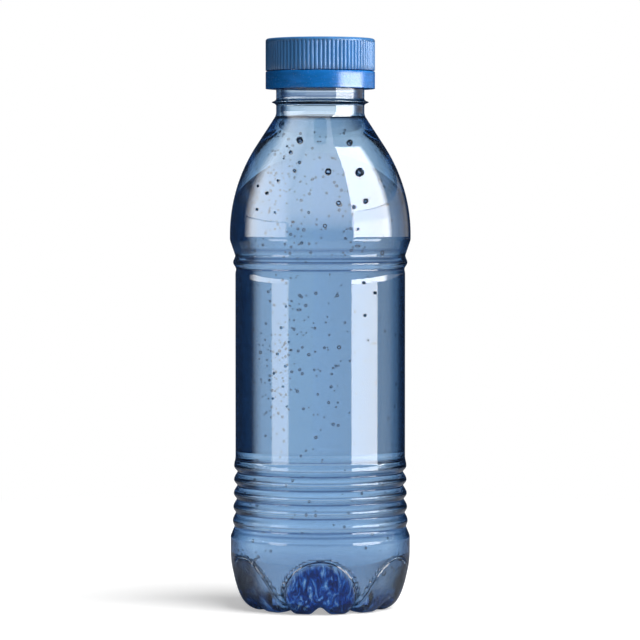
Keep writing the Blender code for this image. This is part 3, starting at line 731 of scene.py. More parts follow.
def clear_plastic(settings):
    """Clear blown plastic: glossy, tinted inside, and darker where it is seen edge-on and on its marks, all
    painted shade.
    """
    material, tree, shader = new_material("blown_pet")
    waves = add_noise(tree, 45.0, 2.0, (1.0, 1.0, 0.35))
    facing = add_facing(tree)
    # Painted shade: the wall turns navy where it is seen edge-on
    edges = add_ramp(tree, facing, (
        (0.33, 1.0), (0.5, (0.3, 0.42, 0.55)), (0.64, (0.05, 0.085, 0.15)), (0.8, settings.painted_edge_shade)))
    # Painted shade of the feet: a dark navy pattern with paler patches, mixed in where the feet are marked
    foot_shade_pattern = add_noise(tree, 300.0, 6.0, (1.3, 1.0, 0.55), Roughness=0.62, Distortion=1.6)
    painted_foot_shade_colours = add_ramp(tree, foot_shade_pattern, (
        (0.44, (0.001, 0.012, 0.15)), (0.5, (0.01, 0.09, 0.46)), (0.55, (0.06, 0.32, 0.75)),
        (0.62, (0.8, 0.93, 1.0))))
    feet = add_mix(tree, add_attribute(tree, "painted_foot_shade"), WHITE, painted_foot_shade_colours)
    colour = add_mix(tree, 1.0, edges, feet, "MULTIPLY")
    # Painted shade on the upper sides of the ribs, stronger towards the edges
    aside = add_ramp(tree, facing, ((0.12, 0.0), (0.38, 1.0)))
    painted_rib_shade_share = add_math(tree, "MULTIPLY", add_attribute(tree, "painted_rib_shade"), aside)
    colour = add_mix(tree, painted_rib_shade_share, colour, rgba(PAINTED_RIB_SHADE_COLOUR))
    # Painted shade: dark lines in the grooves and creases, and a light shade over the base band
    colour = add_mix(tree, add_attribute(tree, "painted_crease_shade"), colour, rgba(PAINTED_CREASE_SHADE))
    ridge = add_ramp(tree, add_attribute(tree, "arch"), (
        (0.9, 0.0), (0.935, 1.0), (0.965, 0.0), (0.99, 0.8), (1.0, 0.0)))
    ripple = add_node(tree, "ShaderNodeMath", {0: waves, 1: 0.2, 2: ridge}, operation="MULTIPLY_ADD")[0]
    add_bump(tree, shader, ripple, 1.0, RIDGE_HEIGHT)
    add_absorption(tree, settings.absorption, settings.absorption_density)
    rough = add_ramp(tree, waves, ((0.35, 0.0), (0.75, 0.02)))
    set_inputs(tree, shader, {"Transmission Weight": 1.0, "IOR": settings.ior, "Base Color": colour,
                              "Roughness": rough})
    return material


def clear_water(settings):
    """Drinking water with a faint blue tint, painted shade where it is seen edge-on and a painted dark line
    where it meets the wall.
    """
    material, tree, shader = new_material("drinking_water")
    # Painted shade: the surface darkens where it is seen edge-on, and a dark line runs where the water meets
    # the wall
    edges = add_ramp(tree, add_facing(tree), ((0.55, 1.0), (0.85, settings.painted_edge_shade)))
    colour = add_mix(tree, add_attribute(tree, "painted_shore_shade"), edges, rgba(PAINTED_SHORE_SHADE))
    rough = add_ramp(tree, add_noise(tree, 30.0, 1.0), ((0.4, 0.0), (0.9, 0.006)))
    add_absorption(tree, settings.absorption, settings.absorption_density)
    set_inputs(tree, shader, {"Transmission Weight": 1.0, "IOR": settings.ior, "Base Color": colour,
                              "Roughness": rough})
    return material


def bubble_film(name, settings, ior, clear, dark):
    """A bubble or bead: clear in the middle up to one facing, and a painted dark rim of shade from another.
    """
    material, tree, shader = new_material(name)
    # Painted shade: a dark rim round each bubble and bead
    tint = add_ramp(tree, add_facing(tree), (
        (clear, 1.0), ((clear + dark) / 2, (0.25, 0.35, 0.5)), (dark, settings.painted_rim_shade)))
    set_inputs(tree, shader, {"Transmission Weight": 1.0, "IOR": ior, "Roughness": 0.0, "Base Color": tint})
    return material


def moulded_plastic(name, colour, roughness, grain, stretch):
    """Moulded polypropylene: slight flow streaks and a fine grain in a satin surface."""
    material, tree, shader = new_material(name)
    pale = tuple(min(1.0, c * 1.18 + 0.004) for c in colour)
    deep = tuple(c * 0.82 for c in colour)
    shade = add_ramp(tree, add_noise(tree, 160.0, 3.0, stretch), ((0.3, deep), (0.7, pale)))
    fine = add_noise(tree, grain, 4.0)
    rough = add_ramp(tree, fine, ((0.3, roughness * 0.85), (0.7, roughness * 1.2)))
    add_bump(tree, shader, fine, 0.22, 0.03 * MM)
    set_inputs(tree, shader, {"Base Color": shade, "Roughness": rough, "IOR": 1.5,
                              "Specular IOR Level": 0.9})
    return material


class BOTTLE_OT_blow_bottle(bpy.types.Operator):
    """Build the blown bottle with its finish, ribs and feet"""

    bl_idname = "petal_bottle.blow_bottle"
    bl_label = "Blow Bottle"

    def execute(self, context):
        settings = context.scene.petal_bottle.bottle
        angles = round_angles(settings.columns)
        plain = skin_rings(settings.columns, settings.rib_roundness)
        inner = inset_rings(plain, 1.0)
        inner[0, :, 2] = RIM_Z - RIM_ROUNDING
        lip = turned_rings(arc((NECK_RADIUS - NECK_WALL + RIM_ROUNDING, RIM_Z - RIM_ROUNDING), RIM_ROUNDING,
                               math.pi / 2, math.pi, 4)[:-1], angles)
        outer = finish_rings(angles) + turned_rings(body_profile(settings.rib_roundness), angles)
        outer += base_rings(angles)
        rings = outer[::-1] + lip + list(inner)
        poles = ((0.0, 0.0, PUNT_HEIGHT), (0.0, 0.0, PUNT_HEIGHT + BODY_WALL))
        mesh = ring_mesh("bottle", rings, poles, material=clear_plastic(settings))
        mark_wall(mesh)
        add_piece("bottle", mesh, "bottle", "clear_pet", "bottle_body")
        return {"FINISHED"}


class BOTTLE_OT_fill_water(bpy.types.Operator):
    """Fill the bottle with water up to the root of its neck"""

    bl_idname = "petal_bottle.fill_water"
    bl_label = "Fill Water"

    def execute(self, context):
        settings = context.scene.petal_bottle.water
        bottle = context.scene.petal_bottle.bottle
        contact_z = WATER_Z + settings.meniscus
        side = inset_rings(skin_rings(bottle.columns, bottle.rib_roundness), 0.5)
        levels = side[:, :, 2].mean(axis=1)
        first = int(np.argmax(levels < contact_z))
        share = (levels[first - 1] - contact_z) / (levels[first - 1] - levels[first])
        contact = side[first - 1] + (side[first] - side[first - 1]) * share
        edge = float(np.linalg.norm(contact[:, :2], axis=1).mean())
        wall_inside = edge - float(wall_at(contact_z)) / 2
        angles = round_angles(bottle.columns)
        surface = [(r, contact_z) for r in np.linspace(edge, wall_inside, 3)[1:]]
        for off in MENISCUS_STEPS:
            rise = settings.meniscus * math.exp(-off * MM / MENISCUS_REACH)
            surface.append((wall_inside - off * MM, WATER_Z + rise))
        rings = list(side[first:])[::-1] + [contact] + turned_rings(surface, angles)
        poles = ((0.0, 0.0, PUNT_HEIGHT + BODY_WALL / 2), (0.0, 0.0, WATER_Z))
        mesh = ring_mesh("water_fill", rings, poles, material=clear_water(settings))
        points = mesh_points(mesh)
        # Painted shade: a dark band just under the water's line at the wall
        off_line = np.abs(points[:, 2] - contact_z + SHORE_DROP)
        near = np.clip((SHORE_HALF_WIDTH - off_line) / SHORE_FADE, 0.0, 1.0)
        near *= np.linalg.norm(points[:, :2], axis=1) > wall_inside - 0.3 * MM
        store_values(mesh, "painted_shore_shade", near)
        add_piece("water_fill", mesh, "bottle", "water", "water")
        return {"FINISHED"}


def bubble_share(points):
    """How dense the small bubbles are at each point of the wall, from 0 to 1."""
    angle = np.degrees(np.arctan2(points[:, 0], -points[:, 1]))
    z = points[:, 2] / MM
    share = 0.05 + 0.05 * smooth_step((z - 130.0) / 10.0)
    for at, width, level, height, amount in (
        (-30.0, 11.0, 88.0, 19.0, 0.8), (-22.0, 9.0, 108.0, 9.0, 0.45), (-30.0, 17.0, 150.0, 17.0, 0.42),
        (5.0, 16.0, 100.0, 30.0, 0.12), (24.0, 10.0, 148.0, 22.0, 0.22), (60.0, 10.0, 19.0, 5.0, 0.3),
        (-55.0, 10.0, 22.0, 4.0, 0.3),
    ):
        turned = (angle - at + 180.0) % 360.0 - 180.0
        share = share + amount * np.exp(-(turned / width) ** 2 - ((z - level) / height) ** 2)
    return np.clip(share, 0.0, 1.0) * (1 - 0.85 * smooth_step((np.abs(angle) - 55.0) / 20.0))


def new_geometry_tree(name, numbers):
    """A node tree with a mesh in and out and named number inputs, and the sockets that they come from."""
    tree = bpy.data.node_groups.new(name, "GeometryNodeTree")
    for label, kind in (("Geometry", "Geometry"),) + numbers:
        tree.interface.new_socket(label, in_out="INPUT", socket_type="NodeSocket" + kind)
    tree.interface.new_socket("Geometry", in_out="OUTPUT", socket_type="NodeSocketGeometry")
    return tree, add_node(tree, "NodeGroupInput")


def finish_tree(tree, placed, material):
    """Make a tree's instances real and give them their material."""
    real = add_node(tree, "GeometryNodeRealizeInstances", {"Geometry": placed})["Geometry"]
    finish = add_node(tree, "GeometryNodeSetMaterial", {"Geometry": real, "Material": material})["Geometry"]
    add_node(tree, "NodeGroupOutput", {"Geometry": finish})


def read_named(tree, name):
    """The value of a named attribute in a geometry tree."""
    return add_node(tree, "GeometryNodeInputNamedAttribute", {"Name": name}, data_type="FLOAT")["Attribute"]


def scatter_tree(material):
    """Node tree that scatters small spheres of air under the wall's inner face."""
    tree, given = new_geometry_tree("scatter bubbles", (
        ("Density", "Float"), ("Smallest", "Float"), ("Largest", "Float"), ("Seed", "Int")))
    density = add_math(tree, "MULTIPLY", given["Density"], read_named(tree, "share"))
    scatter = add_node(tree, "GeometryNodeDistributePointsOnFaces", {
        "Mesh": given["Geometry"], "Density": density, "Seed": given["Seed"]})
    chance = add_node(tree, "FunctionNodeRandomValue", {"Seed": given["Seed"]}, data_type="FLOAT")[1]
    radius = add_node(tree, "ShaderNodeMapRange", {
        "Value": add_math(tree, "POWER", chance, BUBBLE_SIZE_SKEW),
        "To Min": given["Smallest"], "To Max": given["Largest"]})["Result"]
    stored = add_node(tree, "GeometryNodeStoreNamedAttribute", {
        "Geometry": scatter["Points"], "Name": "bubble_radius", "Value": radius}, data_type="FLOAT")
    kept = read_named(tree, "bubble_radius")
    inwards = add_node(tree, "ShaderNodeVectorMath", {
        0: scatter["Normal"], "Scale": add_math(tree, "MULTIPLY", kept, -BUBBLE_DEPTH)}, operation="SCALE")
    moved = add_node(tree, "GeometryNodeSetPosition", {
        "Geometry": stored["Geometry"], "Offset": inwards["Vector"]})
    ball = add_node(tree, "GeometryNodeMeshIcoSphere", {"Radius": 1.0, "Subdivisions": 2})["Mesh"]
    rounded = add_node(tree, "GeometryNodeSetShadeSmooth", {"Geometry": ball})["Geometry"]
    placed = add_node(tree, "GeometryNodeInstanceOnPoints", {
        "Points": moved["Geometry"], "Instance": rounded, "Scale": kept})["Instances"]
    finish_tree(tree, placed, material)
    return tree


def run_tree(name, mesh, tree, values):
    """Run a node tree on a mesh and return the result as a plain mesh."""
    carrier = bpy.data.objects.new(name + " carrier", mesh)
    bpy.context.scene.collection.objects.link(carrier)
    modifier = carrier.modifiers.new(name, "NODES")
    modifier.node_group = tree
    for item in tree.interface.items_tree:
        if item.in_out == "INPUT" and item.name in values:
            modifier[item.identifier] = values[item.name]
    carrier.update_tag()
    bpy.context.view_layer.update()
    evaluated = carrier.evaluated_get(bpy.context.evaluated_depsgraph_get())
    result = bpy.data.meshes.new_from_object(evaluated)
    result.name = name
    carrier.modifiers.clear()
    bpy.data.objects.remove(carrier)
    return result


def add_bead(bm, profile, across, height, radius, out, flatness):
    """Add one round bead on the front of a wall, moved out of it, flattened along it and kept in the box."""
    wall_radius = float(np.interp(height, profile[:, 1], profile[:, 0]))
    slope = (float(np.interp(height + MM, profile[:, 1], profile[:, 0])) - wall_radius) / MM
    tilt = math.atan(-slope)
    turn = math.asin(max(-0.97, min(0.97, across / wall_radius)))
    normal = Vector((math.sin(turn) * math.cos(tilt), -math.cos(turn) * math.cos(tilt), math.sin(tilt)))
    foot = Vector((wall_radius * math.sin(turn), -wall_radius * math.cos(turn), height))
    centre = foot + normal * radius * out
    made = bmesh.ops.create_icosphere(bm, subdivisions=3, radius=radius)
    for vert in made["verts"]:
        vert.co = centre + vert.co - normal * vert.co.dot(normal) * (1 - flatness)
        excess = max(1.0, vert.co.xy.length / BULGE_RADIUS)
        vert.co.x /= excess
        vert.co.y /= excess


class BOTTLE_OT_add_bubbles(bpy.types.Operator):
    """Set air bubbles under the inner face of the wall"""

    bl_idname = "petal_bottle.add_bubbles"
    bl_label = "Add Bubbles"

    def execute(self, context):
        settings = context.scene.petal_bottle.bubbles
        bottle = context.scene.petal_bottle.bottle
        film = bubble_film("air_bubble", settings, *AIR_FILM)
        drop = bubble_film("outer_bead", settings, *BEAD_FILM)
        wall = inset_rings(skin_rings(bottle.columns, bottle.rib_roundness), 1.0)
        levels = wall[:, :, 2].mean(axis=1)
        wall = wall[(levels < WATER_Z - 4.0 * MM) & (levels > 9.0 * MM)]
        carrier = ring_mesh("bubble carrier", list(wall)[::-1])
        store_values(carrier, "share", bubble_share(mesh_points(carrier)))
        small = run_tree("bubbles", carrier, scatter_tree(film), {
            "Density": settings.density, "Smallest": settings.smallest,
            "Largest": settings.largest, "Seed": settings.seed})
        bm = bmesh.new()
        bm.from_mesh(small)
        inner = np.array([(math.hypot(*ring[0][:2]), ring[0][2]) for ring in wall])[::-1]
        small_count = len(bm.faces)
        for across, height, radius in LARGE_BUBBLES:
            add_bead(bm, inner, across * MM, height * MM, radius * MM, *BUBBLE_SEAT)
        outer = inner + np.array([BODY_WALL, 0.0])
        for across, height, radius in OUTER_BEADS:
            add_bead(bm, outer, across * MM, height * MM, radius * MM, *BEAD_SEAT)
        for i, face in enumerate(bm.faces):
            face.smooth = True
            face.material_index = int(i >= small_count)
        bm.to_mesh(small)
        bm.free()
        for attribute in ("bubble_radius", "share"):
            found = small.attributes.get(attribute)
            if found:
                small.attributes.remove(found)
        small.materials.clear()
        small.materials.append(film)
        small.materials.append(drop)
        add_piece("bubbles", small, "bottle", "water")
        return {"FINISHED"}


def knurl_segment(settings):
    """One knurl's share of the cap: outside, lower edge and bore, without the thread."""
    half = math.pi / settings.knurls
    angles = np.linspace(-half, half, settings.knurl_columns + 1)
    ridge = np.abs(np.cos(angles * settings.knurls / 2)) ** 0.8
    ridge = 1 - (ridge - ridge.min()) / (ridge.max() - ridge.min())
    corner = (CAP_RADIUS - CAP_CORNER_RADIUS, CAP_TOP_Z - CAP_CORNER_RADIUS)
    dish = 0.12 * MM
    rows = [(CAP_RADIUS * s, CAP_TOP_Z, 0.0) for s in (0.05, 0.3)]
    rows += [(CAP_RADIUS * 0.55, CAP_TOP_Z, 0.0), (CAP_RADIUS * 0.8, CAP_TOP_Z - dish * 0.3, 0.0)]
    rows += [(CAP_RADIUS - CAP_CORNER_RADIUS - 1.2 * MM, CAP_TOP_Z - dish, 0.0),
             (CAP_RADIUS - CAP_CORNER_RADIUS - 0.6 * MM, CAP_TOP_Z, 0.0)]
    rows += [(r, z, 0.0) for r, z in arc(corner, CAP_CORNER_RADIUS, math.pi / 2, 0.0, 8)]
    top = corner[1] - 0.15 * MM
    rows += [(CAP_RADIUS, top - KNURL_RUNOUT * t, float(smooth_step(t))) for t in (0.25, 0.5, 0.75, 1.0)]
    rows += [(CAP_RADIUS, z, 1.0) for z in np.linspace(top - KNURL_RUNOUT, CAP_BOTTOM_Z + 0.15 * MM, 5)[1:]]
    rows += [(CAP_RADIUS - 0.15 * MM, CAP_BOTTOM_Z, 0.8)]
    rows += [(CAP_BORE_RADIUS + 0.25 * MM, CAP_BOTTOM_Z, 0.0),
             (CAP_BORE_RADIUS, CAP_BOTTOM_Z + 0.25 * MM, 0.0),
             (CAP_BORE_RADIUS, CAP_INNER_TOP_Z - 0.5 * MM, 0.0),
             (CAP_BORE_RADIUS - 0.5 * MM, CAP_INNER_TOP_Z, 0.0)]
    rows += [(CAP_BORE_RADIUS * s, CAP_INNER_TOP_Z, 0.0) for s in (0.6, 0.25)]
    verts = []
    for r, z, cut in rows:
        radius = r - KNURL_DEPTH * ridge * cut
        verts += [(a * math.cos(t), a * math.sin(t), z) for a, t in zip(radius, angles)]
    wide = settings.knurl_columns + 1
    faces = []
    for row in range(len(rows) - 1):
        for i in range(wide - 1):
            a = row * wide + i
            faces.append((a, a + wide, a + wide + 1, a + 1))
    for pole, z, row, turn in ((0, CAP_TOP_Z, 0, False), (1, CAP_INNER_TOP_Z, len(rows) - 1, True)):
        tip = len(verts)
        verts.append((0.0, 0.0, z))
        for i in range(wide - 1):
            a, b = row * wide + i, row * wide + i + 1
            faces.append((tip, b, a) if turn else (tip, a, b))
    mesh = bpy.data.meshes.new("knurl segment")
    mesh.from_pydata(verts, [], faces)
    mesh.update()
    return mesh


def knurl_tree(material):
    """Node tree that repeats a segment round the axis and joins its edges."""
    tree, given = new_geometry_tree("repeat round axis", (("Count", "Int"), ("Join Distance", "Float")))
    points = add_node(tree, "GeometryNodePoints", {"Count": given["Count"]})["Points"]
    step = add_math(tree, "DIVIDE", TAU, given["Count"])
    angle = add_math(tree, "MULTIPLY", add_node(tree, "GeometryNodeInputIndex")["Index"], step)
    turn = add_node(tree, "ShaderNodeCombineXYZ", {"Z": angle})["Vector"]
    placed = add_node(tree, "GeometryNodeInstanceOnPoints", {
        "Points": points, "Instance": given["Geometry"], "Rotation": turn})["Instances"]
    real = add_node(tree, "GeometryNodeRealizeInstances", {"Geometry": placed})["Geometry"]
    joined = add_node(tree, "GeometryNodeMergeByDistance", {
        "Geometry": real, "Distance": given["Join Distance"]})["Geometry"]
    finish_tree(tree, joined, material)
    return tree


def add_cap_thread(bm, sides=96):
    """Wind the cap's inner thread into a bmesh, right-handed, with faded ends."""
    mid_widths = (NECK_THREAD_ROOT_WIDTH + NECK_THREAD_CREST_WIDTH + CAP_THREAD_ROOT_WIDTH
                  + CAP_THREAD_CREST_WIDTH) / 4
    end_z = THREAD_END_Z - mid_widths - FIT_GAP
    half_root, half_crest = CAP_THREAD_ROOT_WIDTH / 2, CAP_THREAD_CREST_WIDTH / 2
    base_half = half_crest + (half_root - half_crest) * (1 + THREAD_BURIED / THREAD_HEIGHT)
    first_turn = (CAP_BOTTOM_Z + THREAD_EDGE_MARGIN + base_half - end_z) / THREAD_PITCH
    steps = round(CAP_THREAD_TURNS * sides)
    loops = []
    for i in range(steps + 1):
        turn = first_turn + CAP_THREAD_TURNS * i / steps
        z = end_z + THREAD_PITCH * turn
        angle = TAU * turn
        grown = float(smooth_step(min(i, steps - i) / steps * CAP_THREAD_TURNS * TAU / THREAD_FADE_ANGLE))
        crest = CAP_BORE_RADIUS - THREAD_HEIGHT * grown
        section = [(CAP_BORE_RADIUS + THREAD_BURIED, base_half), (crest + 0.15 * MM, half_crest),
                   (crest, half_crest * 0.5), (crest, -half_crest * 0.5), (crest + 0.15 * MM, -half_crest),
                   (CAP_BORE_RADIUS + THREAD_BURIED, -base_half)]
        loops.append([bm.verts.new((r * math.cos(angle), r * math.sin(angle), z + dz)) for r, dz in section])
    made = []
    for a, b in zip(loops, loops[1:]):
        for i in range(len(a)):
            j = (i + 1) % len(a)
            made.append(bm.faces.new((a[i], a[j], b[j], b[i])))
    made += [bm.faces.new(loops[0][::-1]), bm.faces.new(loops[-1])]
    bmesh.ops.recalc_face_normals(bm, faces=made)


class BOTTLE_OT_mould_cap(bpy.types.Operator):
    """Mould the knurled screw cap with its inner thread"""

    bl_idname = "petal_bottle.mould_cap"
    bl_label = "Mould Cap"

    def execute(self, context):
        settings = context.scene.petal_bottle.closure
        plastic = moulded_plastic("blue_cap_plastic", settings.cap_colour_with_painted_sheen, settings.cap_roughness, 2600.0,
                                  CAP_STREAKS)
        mesh = run_tree("cap", knurl_segment(settings), knurl_tree(plastic),
                        {"Count": settings.knurls, "Join Distance": 0.01 * MM})
        bm = bmesh.new()
        bm.from_mesh(mesh)
        bmesh.ops.recalc_face_normals(bm, faces=bm.faces)
        add_cap_thread(bm)
        bm.to_mesh(mesh)
        bm.free()
        mesh.shade_smooth()
        mesh.set_sharp_from_angle(angle=math.radians(50.0))
        mesh.materials.clear()
        mesh.materials.append(plastic)
        add_piece("cap", mesh, "cap", "blue_cap", "cap_shell")
        return {"FINISHED"}


class BOTTLE_OT_mould_band(bpy.types.Operator):
    """Mould the smooth tamper band with its turned-in lip"""

    bl_idname = "petal_bottle.mould_band"
    bl_label = "Mould Band"

    def execute(self, context):
        settings = context.scene.petal_bottle.closure
        edge = 0.25 * MM
        inner = CAP_BORE_RADIUS
        lip = NECK_RADIUS + 2 * FIT_GAP
        lip_base = BAND_LIP_TOP_Z - BAND_LIP_THICKNESS
        lip_back = BAND_LIP_ROOT_Z + BAND_LIP_THICKNESS * 2
        profile = arc((CAP_RADIUS - edge, BAND_BOTTOM_Z + edge), edge, -math.pi / 2, 0.0, 4)
        profile += line(profile[-1], (CAP_RADIUS, BAND_TOP_Z - edge), 6)
        profile += arc((CAP_RADIUS - edge, BAND_TOP_Z - edge), edge, 0.0, math.pi / 2, 4)[1:]
        profile += [(inner + edge, BAND_TOP_Z), (inner, BAND_TOP_Z - edge), (inner, lip_back)]
        profile += line(profile[-1], (lip + 0.1 * MM, BAND_LIP_TOP_Z), 3)
        profile += [(lip, BAND_LIP_TOP_Z - 0.1 * MM), (lip, lip_base + 0.1 * MM)]
        profile += line(profile[-1], (inner, BAND_LIP_ROOT_Z), 3)
        profile += [(inner, BAND_BOTTOM_Z + edge), (inner + edge, BAND_BOTTOM_Z)]
        angles = round_angles(160)
        plastic = moulded_plastic("blue_band_plastic", settings.colour, settings.band_roughness, 1500.0,
                                  BAND_STREAKS)
        mesh = ring_mesh("band", turned_rings(profile, angles), closed=True, material=plastic)
        mesh.set_sharp_from_angle(angle=math.radians(50.0))
        add_piece("band", mesh, "bottle", "blue_band", "tamper_band")
        return {"FINISHED"}


class BOTTLE_OT_stamp_liner(bpy.types.Operator):
    """Make the sealing disc under the cap's top"""

    bl_idname = "petal_bottle.stamp_liner"
    bl_label = "Stamp Liner"

    def execute(self, context):
        settings = context.scene.petal_bottle.closure
        radius = NECK_RADIUS + THREAD_HEIGHT
        top = SEAL_BOTTOM_Z + SEAL_THICKNESS
        edge = 0.2 * MM
        profile = [(radius * s, SEAL_BOTTOM_Z) for s in (0.1, 0.5, 0.76)]
        profile += [(radius * 0.78, SEAL_BOTTOM_Z + 0.12 * MM), (radius * 0.8, SEAL_BOTTOM_Z)]
        profile += arc((radius - edge, SEAL_BOTTOM_Z + edge), edge, -math.pi / 2, 0.0, 3)
        profile += arc((radius - edge, top - edge), edge, 0.0, math.pi / 2, 3)
        profile += [(radius * 0.5, top), (radius * 0.1, top)]
        angles = round_angles(96)
        material, tree, shader = new_material("liner_foam")
        cells = add_noise(tree, 1800.0, 3.0)
        colour = tuple(settings.liner_colour)
        shade = add_ramp(tree, cells, ((0.3, tuple(c * 0.9 for c in colour)), (0.7, colour)))
        set_inputs(tree, shader, {"Base Color": shade, "Roughness": 0.6})
        add_bump(tree, shader, cells, 0.3, 0.05 * MM)
        mesh = ring_mesh("liner", turned_rings(profile, angles), ((0.0, 0.0, SEAL_BOTTOM_Z), (0.0, 0.0, top)),
                         material=material)
        mesh.set_sharp_from_angle(angle=math.radians(50.0))
        add_piece("liner", mesh, "seal", "liner", "seal_liner")
        return {"FINISHED"}


def stage_object(name, mesh, hidden_from=()):
    """Link a mesh as part of the stage, out of sight of some kinds of rays."""
    obj = bpy.data.objects.new(name, mesh)
    bpy.context.scene.collection.objects.link(obj)
    for rays in hidden_from:
        setattr(obj, "visible_" + rays, False)
    return obj


def new_emitter(name, mesh):
    """A material without a Principled shader on a mesh: its node tree and the node of its output."""
    material = bpy.data.materials.new(name)
    material.use_nodes = True
    mesh.materials.append(material)
    tree = material.node_tree
    tree.nodes.remove(tree.nodes["Principled BSDF"])
    return tree, tree.nodes["Material Output"]


def add_emission(tree, colour=(1.0, 1.0, 1.0), strength=1.0):
    """Light of a colour and strength."""
    return add_node(tree, "ShaderNodeEmission", {"Color": rgba(colour), "Strength": strength})["Emission"]


def curved_panel(name, radius, across, up, tint, rim=0.0, slant=0.0, hidden_from=()):
    """An upright panel on an arc about the bottle, with a glow that varies over it.

    across pairs degrees to the right of the camera with a level, and up pairs heights with the share
    of that level over the level at the panel's rim. The tint is the panel's own colour under the glow,
    and slant is the share of its height that the panel has lost at its right end.
    """
    knots, levels = zip(*across)
    heights, shares = zip(*up)
    turns = np.unique(np.concatenate([knots, np.arange(knots[0], knots[-1], 3.0)]))
    kept = 1 - slant * (turns - turns[0]) / (turns[-1] - turns[0])
    verts = [(radius * math.sin(t), -radius * math.cos(t), heights[0] + (z - heights[0]) * k)
             for z in heights for t, k in zip(np.radians(turns), kept)]
    wide = len(turns)
    faces = [(i, i + 1, i + wide + 1, i + wide) for row in range(len(heights) - 1)
             for i in range(row * wide, row * wide + wide - 1)]
    mesh = bpy.data.meshes.new(name)
    mesh.from_pydata(verts, [], faces)
    glow = rim + np.outer(shares, np.interp(turns, knots, levels) - rim).ravel()
    store_values(mesh, "glow", glow)
    tree, output = new_emitter(name, mesh)
    light = add_emission(tree, strength=add_attribute(tree, "glow"))
    total = add_node(tree, "ShaderNodeAddShader", {0: light, 1: add_emission(tree, tint)})["Shader"]
    set_inputs(tree, output, {"Surface": total})
    return stage_object(name, mesh, ("camera", "diffuse", "shadow", "volume_scatter") + hidden_from)


def add_shield(tint):
    """A thin ring under the shoulder that keeps the high panels out of the body's reflections."""
    count = 96
    angles = round_angles(count)
    verts = np.concatenate(turned_rings(SHIELD_EDGES, angles)).tolist()
    mesh = bpy.data.meshes.new("shield")
    mesh.from_pydata(verts, [], [(i, (i + 1) % count, (i + 1) % count + count, i + count)
                                 for i in range(count)])
    tree, output = new_emitter("shield", mesh)
    set_inputs(tree, output, {"Surface": add_emission(tree, tint)})
    stage_object("shield", mesh, ("camera", "diffuse", "transmission", "shadow", "volume_scatter"))


def seen_share(tree):
    """1 for rays that show the background to the camera or through glass, else 0, and the light path."""
    path = add_node(tree, "ShaderNodeLightPath")
    shown = add_math(tree, "ADD", path["Is Camera Ray"], path["Is Transmission Ray"], clamp=True)
    direct = add_math(tree, "LESS_THAN", path["Diffuse Depth"], 0.5)
    return add_math(tree, "MULTIPLY", shown, direct), path


def make_floor(settings):
    """A pale floor that keeps the soft shadow, turns white away from the bottle and is dark in mirrors."""
    half = FLOOR_SIZE / 2
    mesh = bpy.data.meshes.new("floor")
    mesh.from_pydata([(-half, -half, 0), (half, -half, 0), (half, half, 0), (-half, half, 0)], [],
                     [(0, 1, 2, 3)])
    tree, output = new_emitter("pale_floor", mesh)
    seen, path = seen_share(tree)
    paper = add_node(tree, "ShaderNodeBsdfDiffuse", {"Color": rgba(PAPER_COLOUR)})["BSDF"]
    lift = add_emission(tree, strength=add_math(tree, "MULTIPLY", seen, FLOOR_LIFT))
    near = add_node(tree, "ShaderNodeAddShader", {0: paper, 1: lift})["Shader"]
    place = add_node(tree, "ShaderNodeTexCoord")["Object"]
    distance = add_node(tree, "ShaderNodeVectorMath", {0: place}, operation="LENGTH")["Value"]
    fade = add_node(tree, "ShaderNodeMapRange", {
        "Value": distance, "From Min": FLOOR_FADE[0], "From Max": FLOOR_FADE[1]},
        interpolation_type="SMOOTHSTEP")["Result"]
    pale = add_node(tree, "ShaderNodeMixShader", {
        "Fac": fade, 1: near, 2: add_emission(tree, strength=seen)})["Shader"]
    bounced = add_math(tree, "SUBTRACT", path["Is Glossy Ray"], path["Is Transmission Ray"], clamp=True)
    shown = add_node(tree, "ShaderNodeMixShader", {
        "Fac": add_math(tree, "MULTIPLY", bounced, FLOOR_DIMMING), 1: pale,
        2: add_emission(tree, settings.mirrored)})["Shader"]
    set_inputs(tree, output, {"Surface": shown})
    stage_object("floor", mesh)


def make_world(settings):
    """White behind the object and through it, and softer in reflections and on dull surfaces."""
    world = bpy.data.worlds.new("studio")
    bpy.context.scene.world = world
    world.use_nodes = True
    tree = world.node_tree
    seen, path = seen_share(tree)
    room = add_mix(tree, path["Is Glossy Ray"], rgba((settings.ambient,) * 3), rgba(settings.mirrored))
    set_inputs(tree, tree.nodes["Background"], {"Color": add_mix(tree, seen, room, WHITE)})


